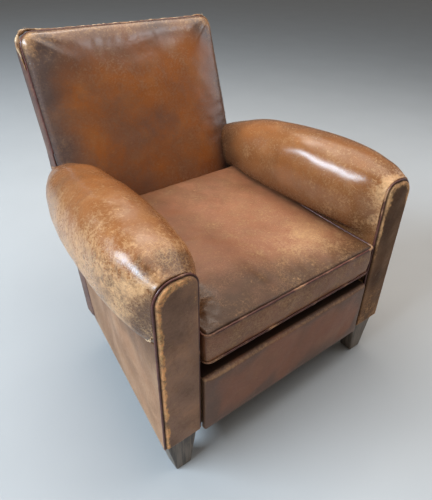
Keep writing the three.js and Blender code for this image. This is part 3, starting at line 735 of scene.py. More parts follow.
def build_arm(side, material, cushion):
    """One arm: its leather, drawn over the padded roll and down the wall beside the cushion."""
    ys = np.linspace(ROLL_START_Y, ROLL_END_Y, int((ROLL_END_Y - ROLL_START_Y) / ROLL_STEP))
    rings = [arm_ring(max(y, ROLL_OUTER[0][0]), inset) for y, inset in ROLL_FRONT]
    for ring, (y, _) in zip(rings, ROLL_FRONT):
        ring[:, 1] = y
    rings += [arm_ring(y, 0.0) for y in ys[:-1]]
    rings += [arm_ring(ROLL_END_Y - before_end, inset) for before_end, inset in ROLL_REAR]
    grid = clear_of_back(rest_on_cushion(np.stack(rings), cushion))
    rows, columns = grid.shape[:2]
    faces = grid_faces(rows, columns, wrap=True)
    faces += [list(range(columns)), list(range((rows - 1) * columns, rows * columns))]
    left = side == "left"
    arm = make_piece(f"arm_leather_{side}", grid.reshape(-1, 3), faces, material,
                     (f"arm_cover_{side}", f"arm_pad_{side}"), mirror=left)
    # Held are both ends and both edges, and what lies against the back or beside the cushion.
    held = np.zeros((rows, columns), bool)
    held[:len(ROLL_FRONT)] = held[-2:] = True
    held[:, :3] = held[:, -6:] = True
    points = points_of(arm)
    depth = on_slope(points)[0]
    held = held.ravel() | (depth > -0.004) | (points[:, 2] < 0.44) & (np.abs(points[:, 0]) < 0.30)
    inflate(arm, held, 2.0, 0.005, extra=0.010, stiff=30.0, frames=14)
    points = points_of(arm)
    seed = 11 if left else 12
    free = smooth(0.02, 0.08, points[:, 1]) * fade(-0.05, 0.0, depth) * smooth(0.43, 0.49, points[:, 2])
    dents = waves(points, 0.15, seed) * 0.0012 + waves(points, 0.05, seed + 20) * 0.00035
    push(arm, dents * free)
    subdivide(arm)
    paint_arm(arm, side)


def paint_arm(arm, side):
    """Worn through and scratched on the left; darker and shinier on the right. Painted shade where the roll
    meets the facing's piping and where it tucks in above the outside panel.
    """
    points = points_of(arm)
    x, y, z = np.abs(points[:, 0]), points[:, 1], points[:, 2]
    mottle = waves(points, 0.09, 31) * 0.05 + waves(points, 0.035, 32) * 0.03
    front = fade(0.02, 0.30, y)
    top = smooth(0.54, 0.60, z)
    # Painted shade: a dark line on the front of the roll, inside the facing's outline, where it meets the
    # piping.
    lip = smooth(0.0005, 0.0020, edge_distance(x, z, *facing_size(0.0))) * fade(0.0125, 0.0135, y)
    panel_side = x > SEAT_HALF + 0.02
    # Painted shade: near black along the outer fold under the roll, where it tucks in above the outside
    # panel.
    tuck_shade = fade(0.402, 0.406, z) * panel_side
    beside = fade(0.015, 0.085, y + mottle * 0.3)
    if side == "left":
        outer = smooth(0.32, 0.38, x) * fade(0.52, 0.60, z)
        hem = smooth(0.402, 0.405, z) * fade(0.408, 0.414, z) * panel_side * (y < 0.3)
        smudge = fade(0.018, 0.085, y + 0.008 * waves(points, 0.04, 33))
        smudge = smudge * fade(0.485, 0.555, z) * smooth(0.30, 0.34, x)
        wear = 0.07 + 0.28 * front + 0.40 * outer * fade(0.35, 0.6, y) + 0.9 * hem
        wear = wear * (1 - 0.9 * smudge) * (1 - 0.55 * beside * top)
        grime = np.maximum(beside, 0.75 * outer * fade(0.10, 0.34, y))
        crackle = 0.8 * front + 0.5 * outer
        dark = 0.12 + 0.18 * smooth(0.3, 0.6, y) + 0.25 * outer * smooth(0.2, 0.6, y)
        dark = dark + 0.45 * beside * (1 - 0.5 * outer) + 0.9 * smudge
        shine = 0.45 * top + 0.1 * outer
    else:
        inner = smooth(0.27, 0.23, x) * fade(0.50, 0.58, z)
        front_edge = fade(0.010, 0.045, y + mottle * 0.2)
        wear = 0.05 + 0.12 * front + 0.03 * top
        wear = wear + front_edge * (0.30 * smooth(0.41, 0.46, z) + 0.35 * smooth(0.49, 0.56, z))
        grime = 0.30 * beside
        crackle = 0.25 * front
        dark = 0.45 * fade(0.42, 0.52, z) + 0.15 * inner + 0.55 * smooth(0.42, 0.55, y) + 0.22
        shine = 0.9 * top + 0.3
    # The edge mask carries the painted shade of the lip and the tuck.
    paint(arm, dark=dark + mottle, wear=wear + mottle, grime=grime, crackle=crackle,
          edge=np.maximum(lip, tuck_shade * 0.9), shine=shine)


# ---- Facings and their piping ----
def facing_size(inset):
    """Lower inner and upper outer corner of a facing, and its rounded corners."""
    low = (SEAT_HALF + 0.001 + inset, SKIRT_Z + max(inset, 0))
    high = (HALF_WIDTH - inset, FACING_TOP - inset)
    return low, high, ((1, 1, 0.045 - inset), (-1, 1, 0.030 - inset))


def facing_line(inset, y):
    """Line round a facing from its outer foot over the top to its inner foot."""
    low, high, ((_, _, outer), (_, _, inner)) = facing_size(inset)
    line = [[high[0], low[1]]]
    line += arc(high[0] - outer, high[1] - outer, outer, np.linspace(0, 90, 12))
    line += arc(low[0] + inner, high[1] - inner, inner, np.linspace(90, 180, 10))
    line.append(low)
    return np.array([[x, y, z] for x, z in line])


def build_facing(side, materials):
    """Flat panel on the front of an arm, its edge turned back, and the piping round it."""
    low, high, corners = facing_size(FACING_INSET)
    u, v = rounded_grid(low, high, corners, FINE_GRID)
    distance = edge_distance(u, v, low, high, corners)
    flat = xyz(u, 0, v)
    left = side == "left"
    seed = 41 if left else 42
    turned = 1 - np.clip(distance / FACING_TURN, 0, 1)
    dents = waves(flat, 0.06, seed) * 0.0004 + waves(flat, 0.02, seed + 1) * 0.00012
    swell = FACING_SWELL * np.sqrt(1 - turned ** 2) + FACING_CROWN * smooth(0.0, 0.045, distance)
    swell = swell + dents * smooth(0, 0.02, distance)
    points, faces = slab(xyz(u, FACING_EDGE_Y - swell, v), xyz(u, FACING_BACK_Y, v))
    panel = make_piece(f"facing_leather_{side}", points, faces, materials[f"facing_{side}"],
                       (f"arm_facing_{side}", f"facing_board_{side}"), mirror=left)
    points = points_of(panel)
    x, z = np.abs(points[:, 0]), points[:, 2]
    distance = edge_distance(x, z, low, high, corners)
    distance = np.where(z < 0.14, np.minimum(high[0] - x, x - low[0]), distance)
    ragged = waves(points, 0.05, seed + 2) * 0.0013 + waves(points, 0.009, seed + 3) * 0.0009
    upper = smooth(0.45, 0.52, z)
    strip = fade(0.005, lerp(0.0105, 0.018, upper), distance + ragged)
    if left:
        worn_side = np.maximum(smooth(0.290, 0.335, x), upper * smooth(0.268, 0.30, x))
    else:
        worn_side = np.maximum(0.75 * fade(0.285, 0.31, x) * smooth(0.30, 0.42, z), upper)
    wear = strip * worn_side * (1.0 + 0.15 * waves(points, 0.03, seed + 4))
    if not left:
        wear = np.maximum(wear, 0.34 * fade(0.14, 0.32, z))
    wear = np.maximum(wear, 0.7 * fade(SKIRT_Z + 0.006, SKIRT_Z + 0.010, z))
    dark = 0.25 + 0.15 * waves(points, 0.09, seed + 7) + (0.30 * upper if left else 0.45)
    # Painted shade: edge darkens the first 1.4 mm of the leather beside the piping to near black.
    paint(panel, dark=dark, wear=wear, grime=strip * worn_side * 0.6, crackle=strip * worn_side * 0.9,
          edge=fade(0.0002, 0.0014, distance) * 0.9, shine=0)

    line = soften(resample(facing_line(FACING_CORD - 0.0004, FACING_CORD_Y), CORD_STEP), 3)
    wobble = waves(line, 0.02, seed + 5) * 0.00015
    points, faces = tube(line, FACING_CORD + wobble, (0, 1, 0))
    welt = make_piece(f"facing_welt_{side}", points, faces, materials["piping"],
                      (f"facing_piping_{side}",), mirror=left)
    points = points_of(welt)
    x, z = np.abs(points[:, 0]), points[:, 2]
    wear = 0.06 + 0.16 * waves(points, 0.05, seed + 6) + 0.5 * (z < SKIRT_Z + 0.008)
    if not left:
        wear = wear + 0.35 * fade(0.27, 0.31, x) * smooth(0.35, 0.5, z)
    paint(welt, wear=wear)


# ---- Back ----
def build_inside_back(materials):
    """Padded front of the back, drawn in at its seam, with pleats at its upper corners."""
    low, high = (-BACK_HALF, BACK_FOOT_V), (BACK_HALF, BACK_TOP_V)
    u, v = rounded_grid(low, high, BACK_CORNERS, PADDED_GRID)
    distance = edge_distance(u, v, low, high, BACK_CORNERS)
    padded = back_point(u, -profile(BACK_PUFF, distance), v)
    points, faces = slab(padded, back_point(u, BACK_LEATHER_REAR, v))
    panel = make_piece("inside_back_leather", points, faces, materials["back"],
                       ("inside_back_cover", "back_pad"))
    held = np.ones(len(points), bool)
    held[:u.size] = (distance < 0.004).ravel() | (v < 0.23).ravel()
    inflate(panel, held, 3.0, 0.007, extra=0.018, stiff=20.0, frames=16)
    points = points_of(panel)
    across, up = points[:, 0], on_slope(points)[1]
    gap = edge_distance(across, up, low, high, BACK_CORNERS)
    push(panel, (np.arange(len(points)) < u.size) * back_creases(across, up, gap, points))
    subdivide(panel)
    paint_inside_back(panel, low, high)


def past_corner(across, up):
    """Distance from the upper corners of the back, taken as square."""
    return np.hypot(np.abs(across) - BACK_HALF, up - BACK_TOP_V)


def pleats(across, up, corner, turns, spread):
    """Gathers that run out of a corner at the given angles, fading away from it."""
    dx, dy = corner[0] - across, corner[1] - up
    reach = np.hypot(dx, dy)
    angle = np.arctan2(dy, np.abs(dx))
    fold = sum(np.exp(-((angle - turn) / 0.13) ** 2) for turn in turns)
    return (fold - 0.4) * smooth(0.004, 0.035, reach) * np.exp(-(reach / spread) ** 2)


def back_creases(across, up, gap, points):
    """Pleats at both upper corners, more on the left, and broad unevenness; none at the seam."""
    height = 0.0048 * pleats(across, up, (-BACK_HALF, BACK_TOP_V), (0.25, 0.66, 1.10), 0.100)
    height = height + 0.0026 * pleats(across, up, (BACK_HALF, BACK_TOP_V), (0.30, 0.85), 0.075)
    height = height + 0.0008 * waves(points, 0.19, 51) + 0.0002 * waves(points, 0.05, 52)
    return height * smooth(0.004, 0.020, gap)


def paint_inside_back(panel, low, high):
    """Dark at the sides, partly darker leather and partly a painted sheen, and dark at the top; painted
    shade low down between the arms and along the seam; paler in the middle, and rubbed through at the
    corners.
    """
    points = points_of(panel)
    across, up = points[:, 0], on_slope(points)[1]
    gap = edge_distance(np.abs(across), up, low, high, BACK_CORNERS)
    side = fade(0.0, 0.11, BACK_HALF - np.abs(across))
    upper = smooth(0.60, 0.74, up)
    ragged = waves(points, 0.12, 53) * 0.10
    ruddy = spot(across, up, (0.17, 0.655), (0.10, 0.05))
    hollow = 0.25 * spot(across, up, (0.02, 0.50), (0.10, 0.06))
    # At the sides the greyish deep colour is partly darker leather and partly a painted sheen, for the
    # window's reflection on the bulging edges.
    dark = 0.85 * side * (1 - 0.75 * ruddy) + 0.65 * upper * (1 - 0.6 * ruddy) + hollow
    # Painted shade: darker low down, below the tops of the arms and above the cushion.
    dark = dark + 0.4 * fade(0.30, 0.46, up) + 0.10 + ragged
    wear = 0.10 + 0.03 * side + 0.05 * waves(points, 0.14, 54)
    wear = wear + 0.28 * fade(0.010, 0.050, gap + ragged * 0.1) * smooth(0.66, 0.72, up)
    wear = wear + 0.45 * fade(0.015, 0.055, past_corner(across, up))
    # Painted shade: edge darkens the leather within 5 mm of the seam.
    paint(panel, dark=dark, wear=wear, grime=0.25 * side, crackle=0.25 * side,
          edge=fade(0.001, 0.005, gap) * 0.8, shine=upper * 0.9 + 0.3)


def back_line(inset, v_low, spacing):
    """Line round the back from its right side over the top to its left side."""
    radius = BACK_CORNER - inset
    half, top = BACK_HALF - inset, BACK_TOP_V - inset
    right = [[back_half(v) - inset, v] for v in np.linspace(v_low, top - radius, 30)]
    right += arc(half - radius, top - radius, radius, np.linspace(0, 90, 12)[1:])
    left = [[-x, v] for x, v in reversed(right)]
    line = np.array(right + left)
    at = resample(np.column_stack([line, np.zeros(len(line))]), spacing)
    return at[:, 0], at[:, 1]


def outwards(across, up):
    """Unit vectors that point out from such a line."""
    normal = np.stack([np.gradient(up), -np.gradient(across)], -1)
    return normal / np.linalg.norm(normal, axis=1, keepdims=True)


def build_back_border(materials):
    """Boxing strip between the inside back's seam and the outside back."""
    across, up = back_line(0.0, 0.004, 0.008)
    # It starts behind the piping, and below the tops of the arms at the seam itself.
    first = lerp(0.0002, 0.0036, smooth(ARM_TOP_V - 0.05, ARM_TOP_V - 0.01, up))[:, None]
    part = np.linspace(0, 1, 9)
    normal = outwards(across, up)
    swell = (0.0012 + 0.0004 * waves(xyz(across, up, 0), 0.07, 61))[:, None] * np.sin(np.pi * part)

    def sheet(out):
        x, v = across[:, None] + normal[:, :1] * out, up[:, None] + normal[:, 1:] * out
        return back_point(x, lerp(first, BACK_THICK, part), v)

    points, faces = slab(sheet(swell), sheet(swell - LEATHER))
    border = make_piece("back_border_leather", points, faces, materials["border"],
                        ("back_border",))
    points = points_of(border)
    corner = past_corner(points[:, 0], on_slope(points)[1])
    wear = 0.06 + 0.10 * waves(points, 0.06, 62) + 0.7 * fade(0.015, 0.06, corner)
    grime = 0.35 + 0.2 * waves(points, 0.11, 63)
    paint(border, dark=grime, wear=wear, grime=grime, crackle=0.3, edge=0, shine=0)


def build_outside_back(materials):
    """Panel that closes the rear of the back, a little fuller in its middle."""
    low, high = (-BACK_HALF, 0.016), (BACK_HALF, BACK_TOP_V - 0.001)
    u, v = rounded_grid(low, high, BACK_CORNERS, PANEL_GRID)
    distance = edge_distance(u, v, low, high, BACK_CORNERS)
    wide = u * back_half(v) / BACK_HALF
    sag = 0.0012 * waves(xyz(u, v, 0), 0.22, 71) * smooth(0.0, 0.06, distance)
    sag = 0.0016 * smooth(0.0, 0.02, distance) + sag
    outside = back_point(wide, BACK_THICK + LEATHER + sag, v)
    points, faces = slab(outside, back_point(wide, BACK_THICK + 0.0002, v))
    panel = make_piece("outside_back_leather", points, faces, materials["outside"],
                       ("outside_back_panel",))
    points = points_of(panel)
    across, up = points[:, 0], on_slope(points)[1]
    gap = edge_distance(np.abs(across) * BACK_HALF / back_half(up), up, low, high, BACK_CORNERS)
    rim = fade(0.0, 0.012, gap + waves(points, 0.04, 72) * 0.003)
    # Painted shade: edge darkens the leather within 2 mm of the seam.
    paint(panel, dark=0.35 + 0.2 * waves(points, 0.2, 74), wear=0.15 + 0.4 * rim, grime=0.2,
          crackle=0.2 * rim, edge=fade(0.0, 0.002, gap), shine=0)


def build_back_welt(materials):
    """Piping along the seam between the inside back and the border, above the arms."""
    across, up = back_line(0.001, ARM_TOP_V - 0.004, CORD_STEP)
    line = back_point(across, 0, up)
    points, faces = tube(line, PIPING + waves(line, 0.02, 81) * 0.0002, DOWN_SLOPE)
    welt = make_piece("back_welt", points, faces, materials["piping"], ("back_piping",))
    points = points_of(welt)
    paint(welt, wear=0.05 + 0.15 * waves(points, 0.05, 82) + 0.2 * smooth(0.735, 0.750, on_slope(points)[1]))


def build_frayed_edge(materials):
    """Cord along the top of the back, bared by wear, that has sprung loose round both corners."""
    left_end, right_end = BACK_TOP_V - 0.085, BACK_TOP_V - 0.050
    across, up = back_line(0.0, left_end, 0.0025)
    keep = (across < 0) | (up > right_end)
    across, up = across[keep], up[keep]
    flat = xyz(across, up, 0)
    loose = np.where(across < 0, 0.0065, 0.0045) * np.exp(-(past_corner(across, up) / 0.048) ** 2)
    reach = (0.0021 + loose + 0.0003 * waves(flat, 0.03, 83))[:, None] * outwards(across, up)
    depth = 0.0062 + 0.35 * loose + 0.0004 * waves(flat, 0.02, 84)
    end = np.minimum(np.arange(len(up)), np.arange(len(up))[::-1])
    radius = (0.0019 + 0.35 * loose + 0.0004 * waves(flat, 0.012, 85)) * smooth(-2, 5, end)
    line = back_point(across + reach[:, 0], depth, up + reach[:, 1])
    points, faces = tube(line, radius, DOWN_SLOPE, sides=12)
    cord = make_piece("frayed_edge", points, faces, materials["frayed"], ())
    paint(cord, wear=0.35 + 0.35 * waves(points_of(cord), 0.025, 86))


def thread(start, steps, radius):
    """Thin thread through a start point and the steps from it, drawn out to a fine end."""
    path = np.concatenate([[start], np.asarray(start) + np.cumsum(steps, axis=0)])
    line = soften(resample(path, 0.0012), 3)
    taper = np.minimum(1.0, np.linspace(len(line) / 4, 0.35, len(line)))
    return tube(line, radius * taper, (0.3, 0.5, 0.81), sides=6)


def build_threads(materials):
    """Loose ends: torn fibres at the corners of the back, and a hem thread under the left roll."""
    rng = np.random.default_rng(131)
    reach = BACK_CORNER + 0.006
    strands = []
    for corner, count in ((-1, 16), (1, 9)):
        for _ in range(count):
            turn = rng.uniform(0.1, 1.45)
            out = np.array([corner * math.cos(turn), 0, math.sin(turn)])
            across = corner * (BACK_HALF - BACK_CORNER + reach * math.cos(turn))
            up = BACK_TOP_V - BACK_CORNER + reach * math.sin(turn)
            steps = out * rng.uniform(0.0012, 0.0026) + rng.normal(0, 0.0011, (3, 3))
            strands.append((back_point(across, 0.0065, up), steps, rng.uniform(0.0003, 0.0005)))
    nick = back_point(0.062, 0.0055, BACK_TOP_V + 0.002)
    strands.append((nick, [[0.0002, 0, 0.0022], [-0.0006, 0, 0.0022]], 0.0006))
    ys = np.linspace(0.200, 0.018, 40)
    hem_x = side_x(ys) + 0.0035
    hem = xyz(-hem_x, ys, roll_underside(ys, hem_x) - 0.0006)
    hem[:, 2] += waves(hem, 0.03, 132) * 0.0004
    loop = [[-0.001, -0.003, -0.003], [0, 0.001, -0.004], [0, 0.005, -0.002], [0, 0.004, 0.002]]
    strands.append((hem[0], np.concatenate([np.diff(hem, axis=0), loop]), 0.0009))
    points, faces, total = [], [], 0
    for start, steps, radius in strands:
        some_points, some_faces = thread(start, steps, radius)
        faces += [[index + total for index in face] for face in some_faces]
        points.append(some_points)
        total += len(some_points)
    piece = make_piece("loose_threads", np.concatenate(points), faces, materials["frayed"],
                       ())
    paint(piece, wear=0.8)


# ---- Cushion ----
def welt_height(y):
    """Height of the cushion's upper seam, which rises to the rear."""
    return CUSHION_WELT + CUSHION_RISE * smooth(0, 0.420, y)


def cushion_rear(z):
    return seam_y(z) - BACK_BULGE / math.cos(RAKE) - CUSHION_REAR_GAP


def build_cushion(materials):
    """Boxed cushion: crowned top, bordered sides, and a welt along both edges."""
    rear_high, rear_low = cushion_rear(CUSHION_WELT + CUSHION_RISE), cushion_rear(CUSHION_LOW)
    low, high = (-CUSHION_HALF, 0.0), (CUSHION_HALF, rear_high)
    u, v = rounded_grid(low, high, CUSHION_CORNERS, PADDED_GRID)
    distance = edge_distance(u, v, low, high, CUSHION_CORNERS)
    ridge = CUSHION_RIDGE * smooth(0.0, 0.018, distance) * fade(0.03, 0.16, rear_high - v)
    top = xyz(u, v, welt_height(v) + (profile(CUSHION_CROWN, distance) + ridge))
    underside = CUSHION_LOW + CUSHION_TUCK - CUSHION_TUCK * smooth(0, 0.012, distance)
    bottom = xyz(u * 0.995, v * (rear_low / rear_high), underside)
    points, faces = slab(top, bottom, edge_rows=11, bulge=0.0025)
    cushion = make_piece("seat_cushion_leather", points, faces, materials["cushion"],
                         ("seat_cushion",))
    loop = border_loop(*u.shape)
    index = np.arange(len(points))
    upper, sides = index < u.size, index >= 2 * u.size
    held = ~upper & ~sides
    held[loop] = True
    inflate(cushion, held, 3.0, 0.008, extra=0.022, stiff=20.0, frames=18)
    push(cushion, cushion_creases(points_of(cushion), upper, sides, low, high))
    seams = points_of(cushion)
    subdivide(cushion)
    paint_cushion(cushion, low, high)
    build_cushion_welt("top", seams[loop], materials)
    build_cushion_welt("bottom", seams[u.size + loop], materials)
    return cushion


def cushion_creases(points, upper, sides, low, high):
    """A sunken front left corner with fine creases, a dish in the middle, and softer unevenness."""
    x, y = points[:, 0], points[:, 1]
    inner = smooth(0.003, 0.02, edge_distance(x, y, low, high, CUSHION_CORNERS))
    fine = waves(points, 0.018, 91, stretch=(1, 0.6, 1)) * 0.0010
    fine = fine * spot(x, y, (-0.225, 0.085), (0.045, 0.080))
    fine = fine - 0.011 * spot(x, y, (-0.250, 0.085), (0.040, 0.085))
    dish = -0.004 * spot(x, y, (0, 0.26), (0.15, 0.16))
    broad = waves(points, 0.16, 92) * 0.0006 + waves(points, 0.05, 93) * 0.00015
    height = upper * inner * (fine + dish + broad)
    return height + sides * (waves(points, 0.07, 94) * 0.0007 + waves(points, 0.025, 95) * 0.0002)


def paint_cushion(cushion, low, high):
    """Dark along the front and the rear; the sunken front left corner is dark leather and painted shade;
    golden right of the middle; painted shade along the upper seam.
    """
    points = points_of(cushion)
    x, y, z = points.T
    top = z > welt_height(y) - 0.002
    gap = edge_distance(x, y, low, high, CUSHION_CORNERS)
    mottle = waves(points, 0.10, 96) * 0.06 + waves(points, 0.04, 97) * 0.04
    middle = spot(x, y, (0.08, 0.17), (0.16, 0.14))
    golden = spot(x, y, (0.14, 0.112), (0.09, 0.055))
    corner = spot(x, y, (-0.225, 0.08), (0.05, 0.09))
    front = fade(0.02, 0.16, y + 0.03 * np.sin(x * 9))
    side = smooth(0.15, 0.25, np.abs(x))
    rim = fade(0.0, 0.006, gap)
    wear = np.where(top, 0.10 + 0.20 * middle + 0.44 * golden + 0.1 * rim + mottle, 0.34 + mottle)
    low_edge = fade(CUSHION_LOW + 0.004, CUSHION_LOW + 0.012, z) * (y < 0.02)
    rear = 0.40 * smooth(0.30, 0.46, y) * (1 - 0.4 * smooth(0.0, 0.2, x))
    dark = np.where(top, 0.95 * front * (1 - 0.65 * golden) + 0.15 * side * (x < 0) + rear, 0.35) + mottle
    # The sunken front left corner is turned to the deep colour: partly dark leather, partly painted shade
    # beside the facing.
    dark = np.where(top, np.maximum(dark, 1.15 * np.minimum(1.6 * corner, 1)), dark)
    # Painted shade: edge set near black along the upper seam.
    seam = np.where((np.abs(z - welt_height(y)) < 0.0035) & (gap < 0.006), 0.75, 0.0)
    paint(cushion, dark=dark, wear=wear * (1 - 0.7 * corner * top) + 0.4 * low_edge,
          grime=np.where(top, 0.25 * front * (1 - corner), 0.30),
          crackle=np.where(top, 0.15 + 0.3 * front, 0.35), edge=seam,
          shine=np.where(top, 0.2 + 1.0 * corner, 0.1))


def build_cushion_welt(name, line, materials):
    """Piping round the cushion, just outside a seam."""
    centre, stands_out = line.mean(0), 0.0016
    line = soften(resample(line, CORD_STEP, closed=True), 4, closed=True)
    away = line - centre
    away[:, 2] = 0
    tangent = np.roll(line, -1, 0) - np.roll(line, 1, 0)
    outward = xyz(tangent[:, 1], -tangent[:, 0], 0)
    outward /= np.linalg.norm(outward, axis=1, keepdims=True)
    outward *= np.sign((outward * away).sum(1, keepdims=True))
    line = line + outward * stands_out
    points, faces = tube(line, PIPING + waves(line, 0.02, 101) * 0.0002, (0, 0, 1), closed=True)
    welt = make_piece(f"cushion_welt_{name}", points, faces, materials["piping"],
                      (f"cushion_piping_{name}",))
    points = points_of(welt)
    corner = np.minimum(np.abs(np.abs(points[:, 0]) - CUSHION_HALF), 0.1) + points[:, 1]
    wear = 0.08 + 0.20 * fade(0.0, 0.02, points[:, 1]) if name == "top" else 0.32
    wear = wear + 0.16 * waves(points, 0.06, 102)
    paint(welt, wear=wear + 0.4 * fade(0.0, 0.03, corner))


# ---- Front rail, outside arm panels, feet, hidden pieces ----
def build_front_rail(materials):
    """Padded panel over the front rail, its top edge rolled back under the cushion."""
    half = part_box("front_rail_cover")[1].x
    face, reach, thick, rolled = -0.0058, 0.044, 0.0190, 0.06
    height = RAIL_HIGH - RAIL_LOW
    radius = height * rolled
    xs = np.linspace(-half, half, 110)[:, None]
    up = [(face, RAIL_LOW + height * t) for t in np.linspace(0, 1 - rolled, 28)]
    roll = [(face + radius * (1 - math.cos(a)), RAIL_HIGH - radius + radius * math.sin(a))
            for a in np.radians(np.linspace(15, 90, 6))]
    over = [(y, RAIL_HIGH) for y in np.linspace(face + radius + 0.006, reach, 5)]
    y, z = np.array(up + roll + over).T
    front = xyz(xs, y, z)
    inner = xyz(xs, np.minimum(y + thick, reach), np.minimum(z, RAIL_HIGH - LEATHER))
    soft = smooth(0.0, 0.02, np.minimum(half - np.abs(xs), z - RAIL_LOW))
    dents = waves(front, 0.12, 111) * 0.0008 + waves(front, 0.04, 112) * 0.00025
    front[..., 1] += np.where(z < RAIL_HIGH - 0.002, 0.003 * (1 - soft) + dents * soft, 0)
    points, faces = slab(front, inner)
    rail = make_piece("front_rail_leather", points, faces, materials["rail"],
                      ("front_rail_cover",))
    subdivide(rail)
    points = points_of(rail)
    x, y, z = points.T
    gap = np.minimum.reduce([half - np.abs(x), z - RAIL_LOW, RAIL_HIGH + 0.015 - z])
    band = fade(0.015, 0.055, gap + waves(points, 0.09, 113) * 0.010)
    rim = fade(0.001, 0.004, half - np.abs(x))
    lip = np.exp(-((z - RAIL_HIGH + 0.004) / 0.0035) ** 2)
    lip = lip * (0.45 + 0.3 * fade(-half, -half + 0.25, x))
    # Painted shade: the rolled top beyond the crest, under the cushion, blended to near black through edge.
    shade_under_cushion = smooth(0.004, 0.008, y) * (z > RAIL_HIGH - 0.004)
    paint(rail, dark=0.78 * band, wear=0.06 + 0.25 * rim + lip, grime=0.1 + 0.2 * band,
          crackle=0.2 * band, edge=shade_under_cushion, shine=0)


def roll_underside(y, x):
    """Height of the underside of the arm's roll."""
    outer, inner, power = profile(ROLL_OUTER, y), profile(ROLL_INNER, y), profile(ROLL_POWER, y)
    reach = np.minimum(np.abs(x - (outer + inner) / 2) / ((outer - inner) / 2), 1)
    return ROLL_MID_Z - ROLL_DROP * (1 - reach ** power) ** (1 / power)


def build_outside_arm(side, materials):
    """Panel outside the arm, from the skirt up to the fold under the roll. Its height and its
    rear edge depend on each other, so both are worked out a few times over."""
    columns, rows = 90, 48
    s, t = np.meshgrid(np.linspace(0, 1, columns), np.linspace(0, 1, rows), indexing="ij")
    y = lerp(PANEL_FRONT_Y, seam_y(SKIRT_Z), s)
    for _ in range(4):
        top = np.minimum(roll_underside(y, side_x(y) - LEATHER) + LEATHER, PANEL_TOP_Z)
        z = lerp(SKIRT_Z, top, t)
        y = lerp(PANEL_FRONT_Y, seam_y(z) - 0.0004, s)
    flat = xyz(0, y, z)
    free = smooth(0.0, 0.03, np.minimum.reduce([y - PANEL_FRONT_Y, z - SKIRT_Z, seam_y(z) - y]))
    left = side == "left"
    seed = 121 if left else 122
    swell = 0.0012 * free + free * (waves(flat, 0.20, seed) * 0.0013 + waves(flat, 0.06, seed + 1) * 0.0003)
    swell = swell + 0.0008 * fade(0.004, 0.012, z - SKIRT_Z)
    points, faces = slab(xyz(side_x(y) + swell, y, z), xyz(side_x(y) - LEATHER, y, z))
    panel = make_piece(f"outside_arm_leather_{side}", points, faces, materials["outside"],
                       (f"outside_arm_panel_{side}",), mirror=left)
    points = points_of(panel)
    y, z = points[:, 1], points[:, 2]
    hem = fade(SKIRT_Z + 0.004, SKIRT_Z + 0.012, z)
    under = smooth(0.27, 0.41, z)
    # Painted shade: darker towards the top, under the overhanging roll.
    dark = 0.12 + 0.14 * waves(points, 0.11, seed + 2) + 0.9 * under + 0.5 * smooth(0.30, 0.47, y)
    wear = 0.12 + 0.08 * waves(points, 0.12, seed + 3) + 0.5 * hem
    paint(panel, dark=dark, wear=wear, grime=0.15 + 0.3 * under, crackle=0.15, edge=0, shine=0.1)


def build_foot(node, materials):
    """Tapered foot with eased corners."""
    name = f"{node}_wood"
    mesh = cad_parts[node].data.copy()
    mesh.name = name
    mesh.materials.clear()
    mesh.materials.append(materials["foot"])
    foot = add_object(name, mesh)
    shape = bmesh.new()
    shape.from_mesh(mesh)
    bmesh.ops.remove_doubles(shape, verts=shape.verts, dist=1e-5)
    bmesh.ops.dissolve_limit(shape, angle_limit=0.01, verts=shape.verts, edges=shape.edges)
    bmesh.ops.bevel(shape, geom=shape.edges, offset=0.0035, segments=4, profile=0.6, affect="EDGES")
    bmesh.ops.recalc_face_normals(shape, faces=shape.faces)
    shape.to_mesh(mesh)
    shape.free()
    mesh.shade_smooth()
    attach(foot, "root")
    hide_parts(node)


def finish_hidden_pieces(materials):
    """The frame, springs, webbing and padding keep their CAD shapes and get their own finish."""
    looks = (("webbing", "jute"), ("hessian", "jute"), ("spring", "steel"), ("pad", "stuffing"),
             ("deck", "deck"), ("rail", "beech"), ("post", "beech"), ("board", "beech"))
    for name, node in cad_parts.items():
        if node.hide_render:
            continue
        look = next(look for word, look in looks if word in name)
        node.data.materials.clear()
        node.data.materials.append(materials[look])


# ---- Floor, light and camera ----
def build_stage(material):
    mesh = bpy.data.meshes.new("floor")
    reach = 200.0
    mesh.from_pydata([(-reach, -reach, 0), (reach, -reach, 0), (reach, reach, 0), (-reach, reach, 0)],
                     [], [(0, 1, 2, 3)])
    mesh.materials.append(material)
    add_object("floor", mesh)


def soft_light(name, place, aim, size, power, colour):
    """Rectangular lamp at a place, aimed at another."""
    data = bpy.data.lights.new(name, "AREA")
    data.shape = "RECTANGLE"
    data.size, data.size_y = size
    data.energy = power
    data.color = colour
    light = add_object(name, data)
    light.location = place
    light.rotation_euler = (Vector(aim) - Vector(place)).to_track_quat("-Z", "Y").to_euler()


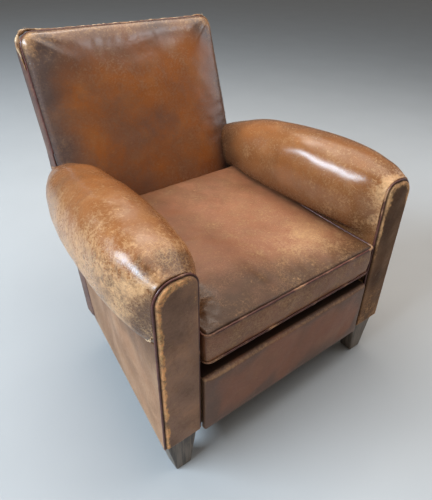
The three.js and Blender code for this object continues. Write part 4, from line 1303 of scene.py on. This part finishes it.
def build_lights():
    soft_light("window", (-4.2, 0.90, 3.30), (0.0, 0.0, 0.5), (4.0, 1.1), 330, (0.68, 0.84, 1.0))
    soft_light("ceiling", (0.5, 0.2, 2.7), (0.0, 0.0, 0.3), (2.8, 2.8), 45, (1.0, 0.95, 0.88))
    soft_light("front", (1.7, -1.6, 3.0), (0.0, 0.2, 0.7), (0.8, 0.4), 7, (0.84, 0.92, 1.0))
    soft_light("rear", (0.16, 0.95, 2.5), (0.0, -0.1, 0.4), (0.8, 0.3), 4, (1.0, 0.95, 0.88))
    soft_light("side", (2.6, -0.9, 1.3), (0.1, 0.1, 0.5), (1.4, 1.2), 9, (0.84, 0.90, 1.0))
    world = bpy.data.worlds.new("room")
    world.use_nodes = True
    sky = world.node_tree.nodes["Background"].inputs
    sky["Color"].default_value = (0.86, 0.84, 0.82, 1)
    sky["Strength"].default_value = 0.20
    bpy.context.scene.world = world
    bpy.context.scene.view_settings.view_transform = "Standard"
    bpy.context.scene.view_settings.look = "Medium High Contrast"


def build_camera():
    """The viewpoint: where the camera is, how it is turned, and its lens."""
    place, heading, dip, roll = (-0.6151, -0.8709, 1.0103), 0.6595, 0.6005, 0.0130
    ahead = Vector((math.sin(heading) * math.cos(dip), math.cos(heading) * math.cos(dip), -math.sin(dip)))
    right = Vector((math.cos(heading), -math.sin(heading), 0))
    up = right.cross(ahead)
    turned = right * math.cos(roll) + up * math.sin(roll)
    up = up * math.cos(roll) - right * math.sin(roll)
    data = bpy.data.cameras.new("camera")
    data.lens = 32.53
    camera = add_object("camera", data)
    turn = Matrix((turned, up, -ahead)).transposed().to_4x4()
    camera.matrix_world = Matrix.Translation(Vector(place)) @ turn
    bpy.context.scene.camera = camera


# ---- The chair ----
build_camera()
LOOKS = make_materials()
SEAT = build_cushion(LOOKS)
for SIDE in ("left", "right"):
    build_arm(SIDE, LOOKS["arm"], SEAT)
    build_facing(SIDE, LOOKS)
    build_outside_arm(SIDE, LOOKS)
    build_foot(f"front_foot_{SIDE}", LOOKS)
    build_foot(f"rear_foot_{SIDE}", LOOKS)
for build in (build_inside_back, build_back_border, build_outside_back, build_back_welt,
              build_frayed_edge, build_threads, build_front_rail, finish_hidden_pieces):
    build(LOOKS)
build_stage(LOOKS["floor"])
build_lights()
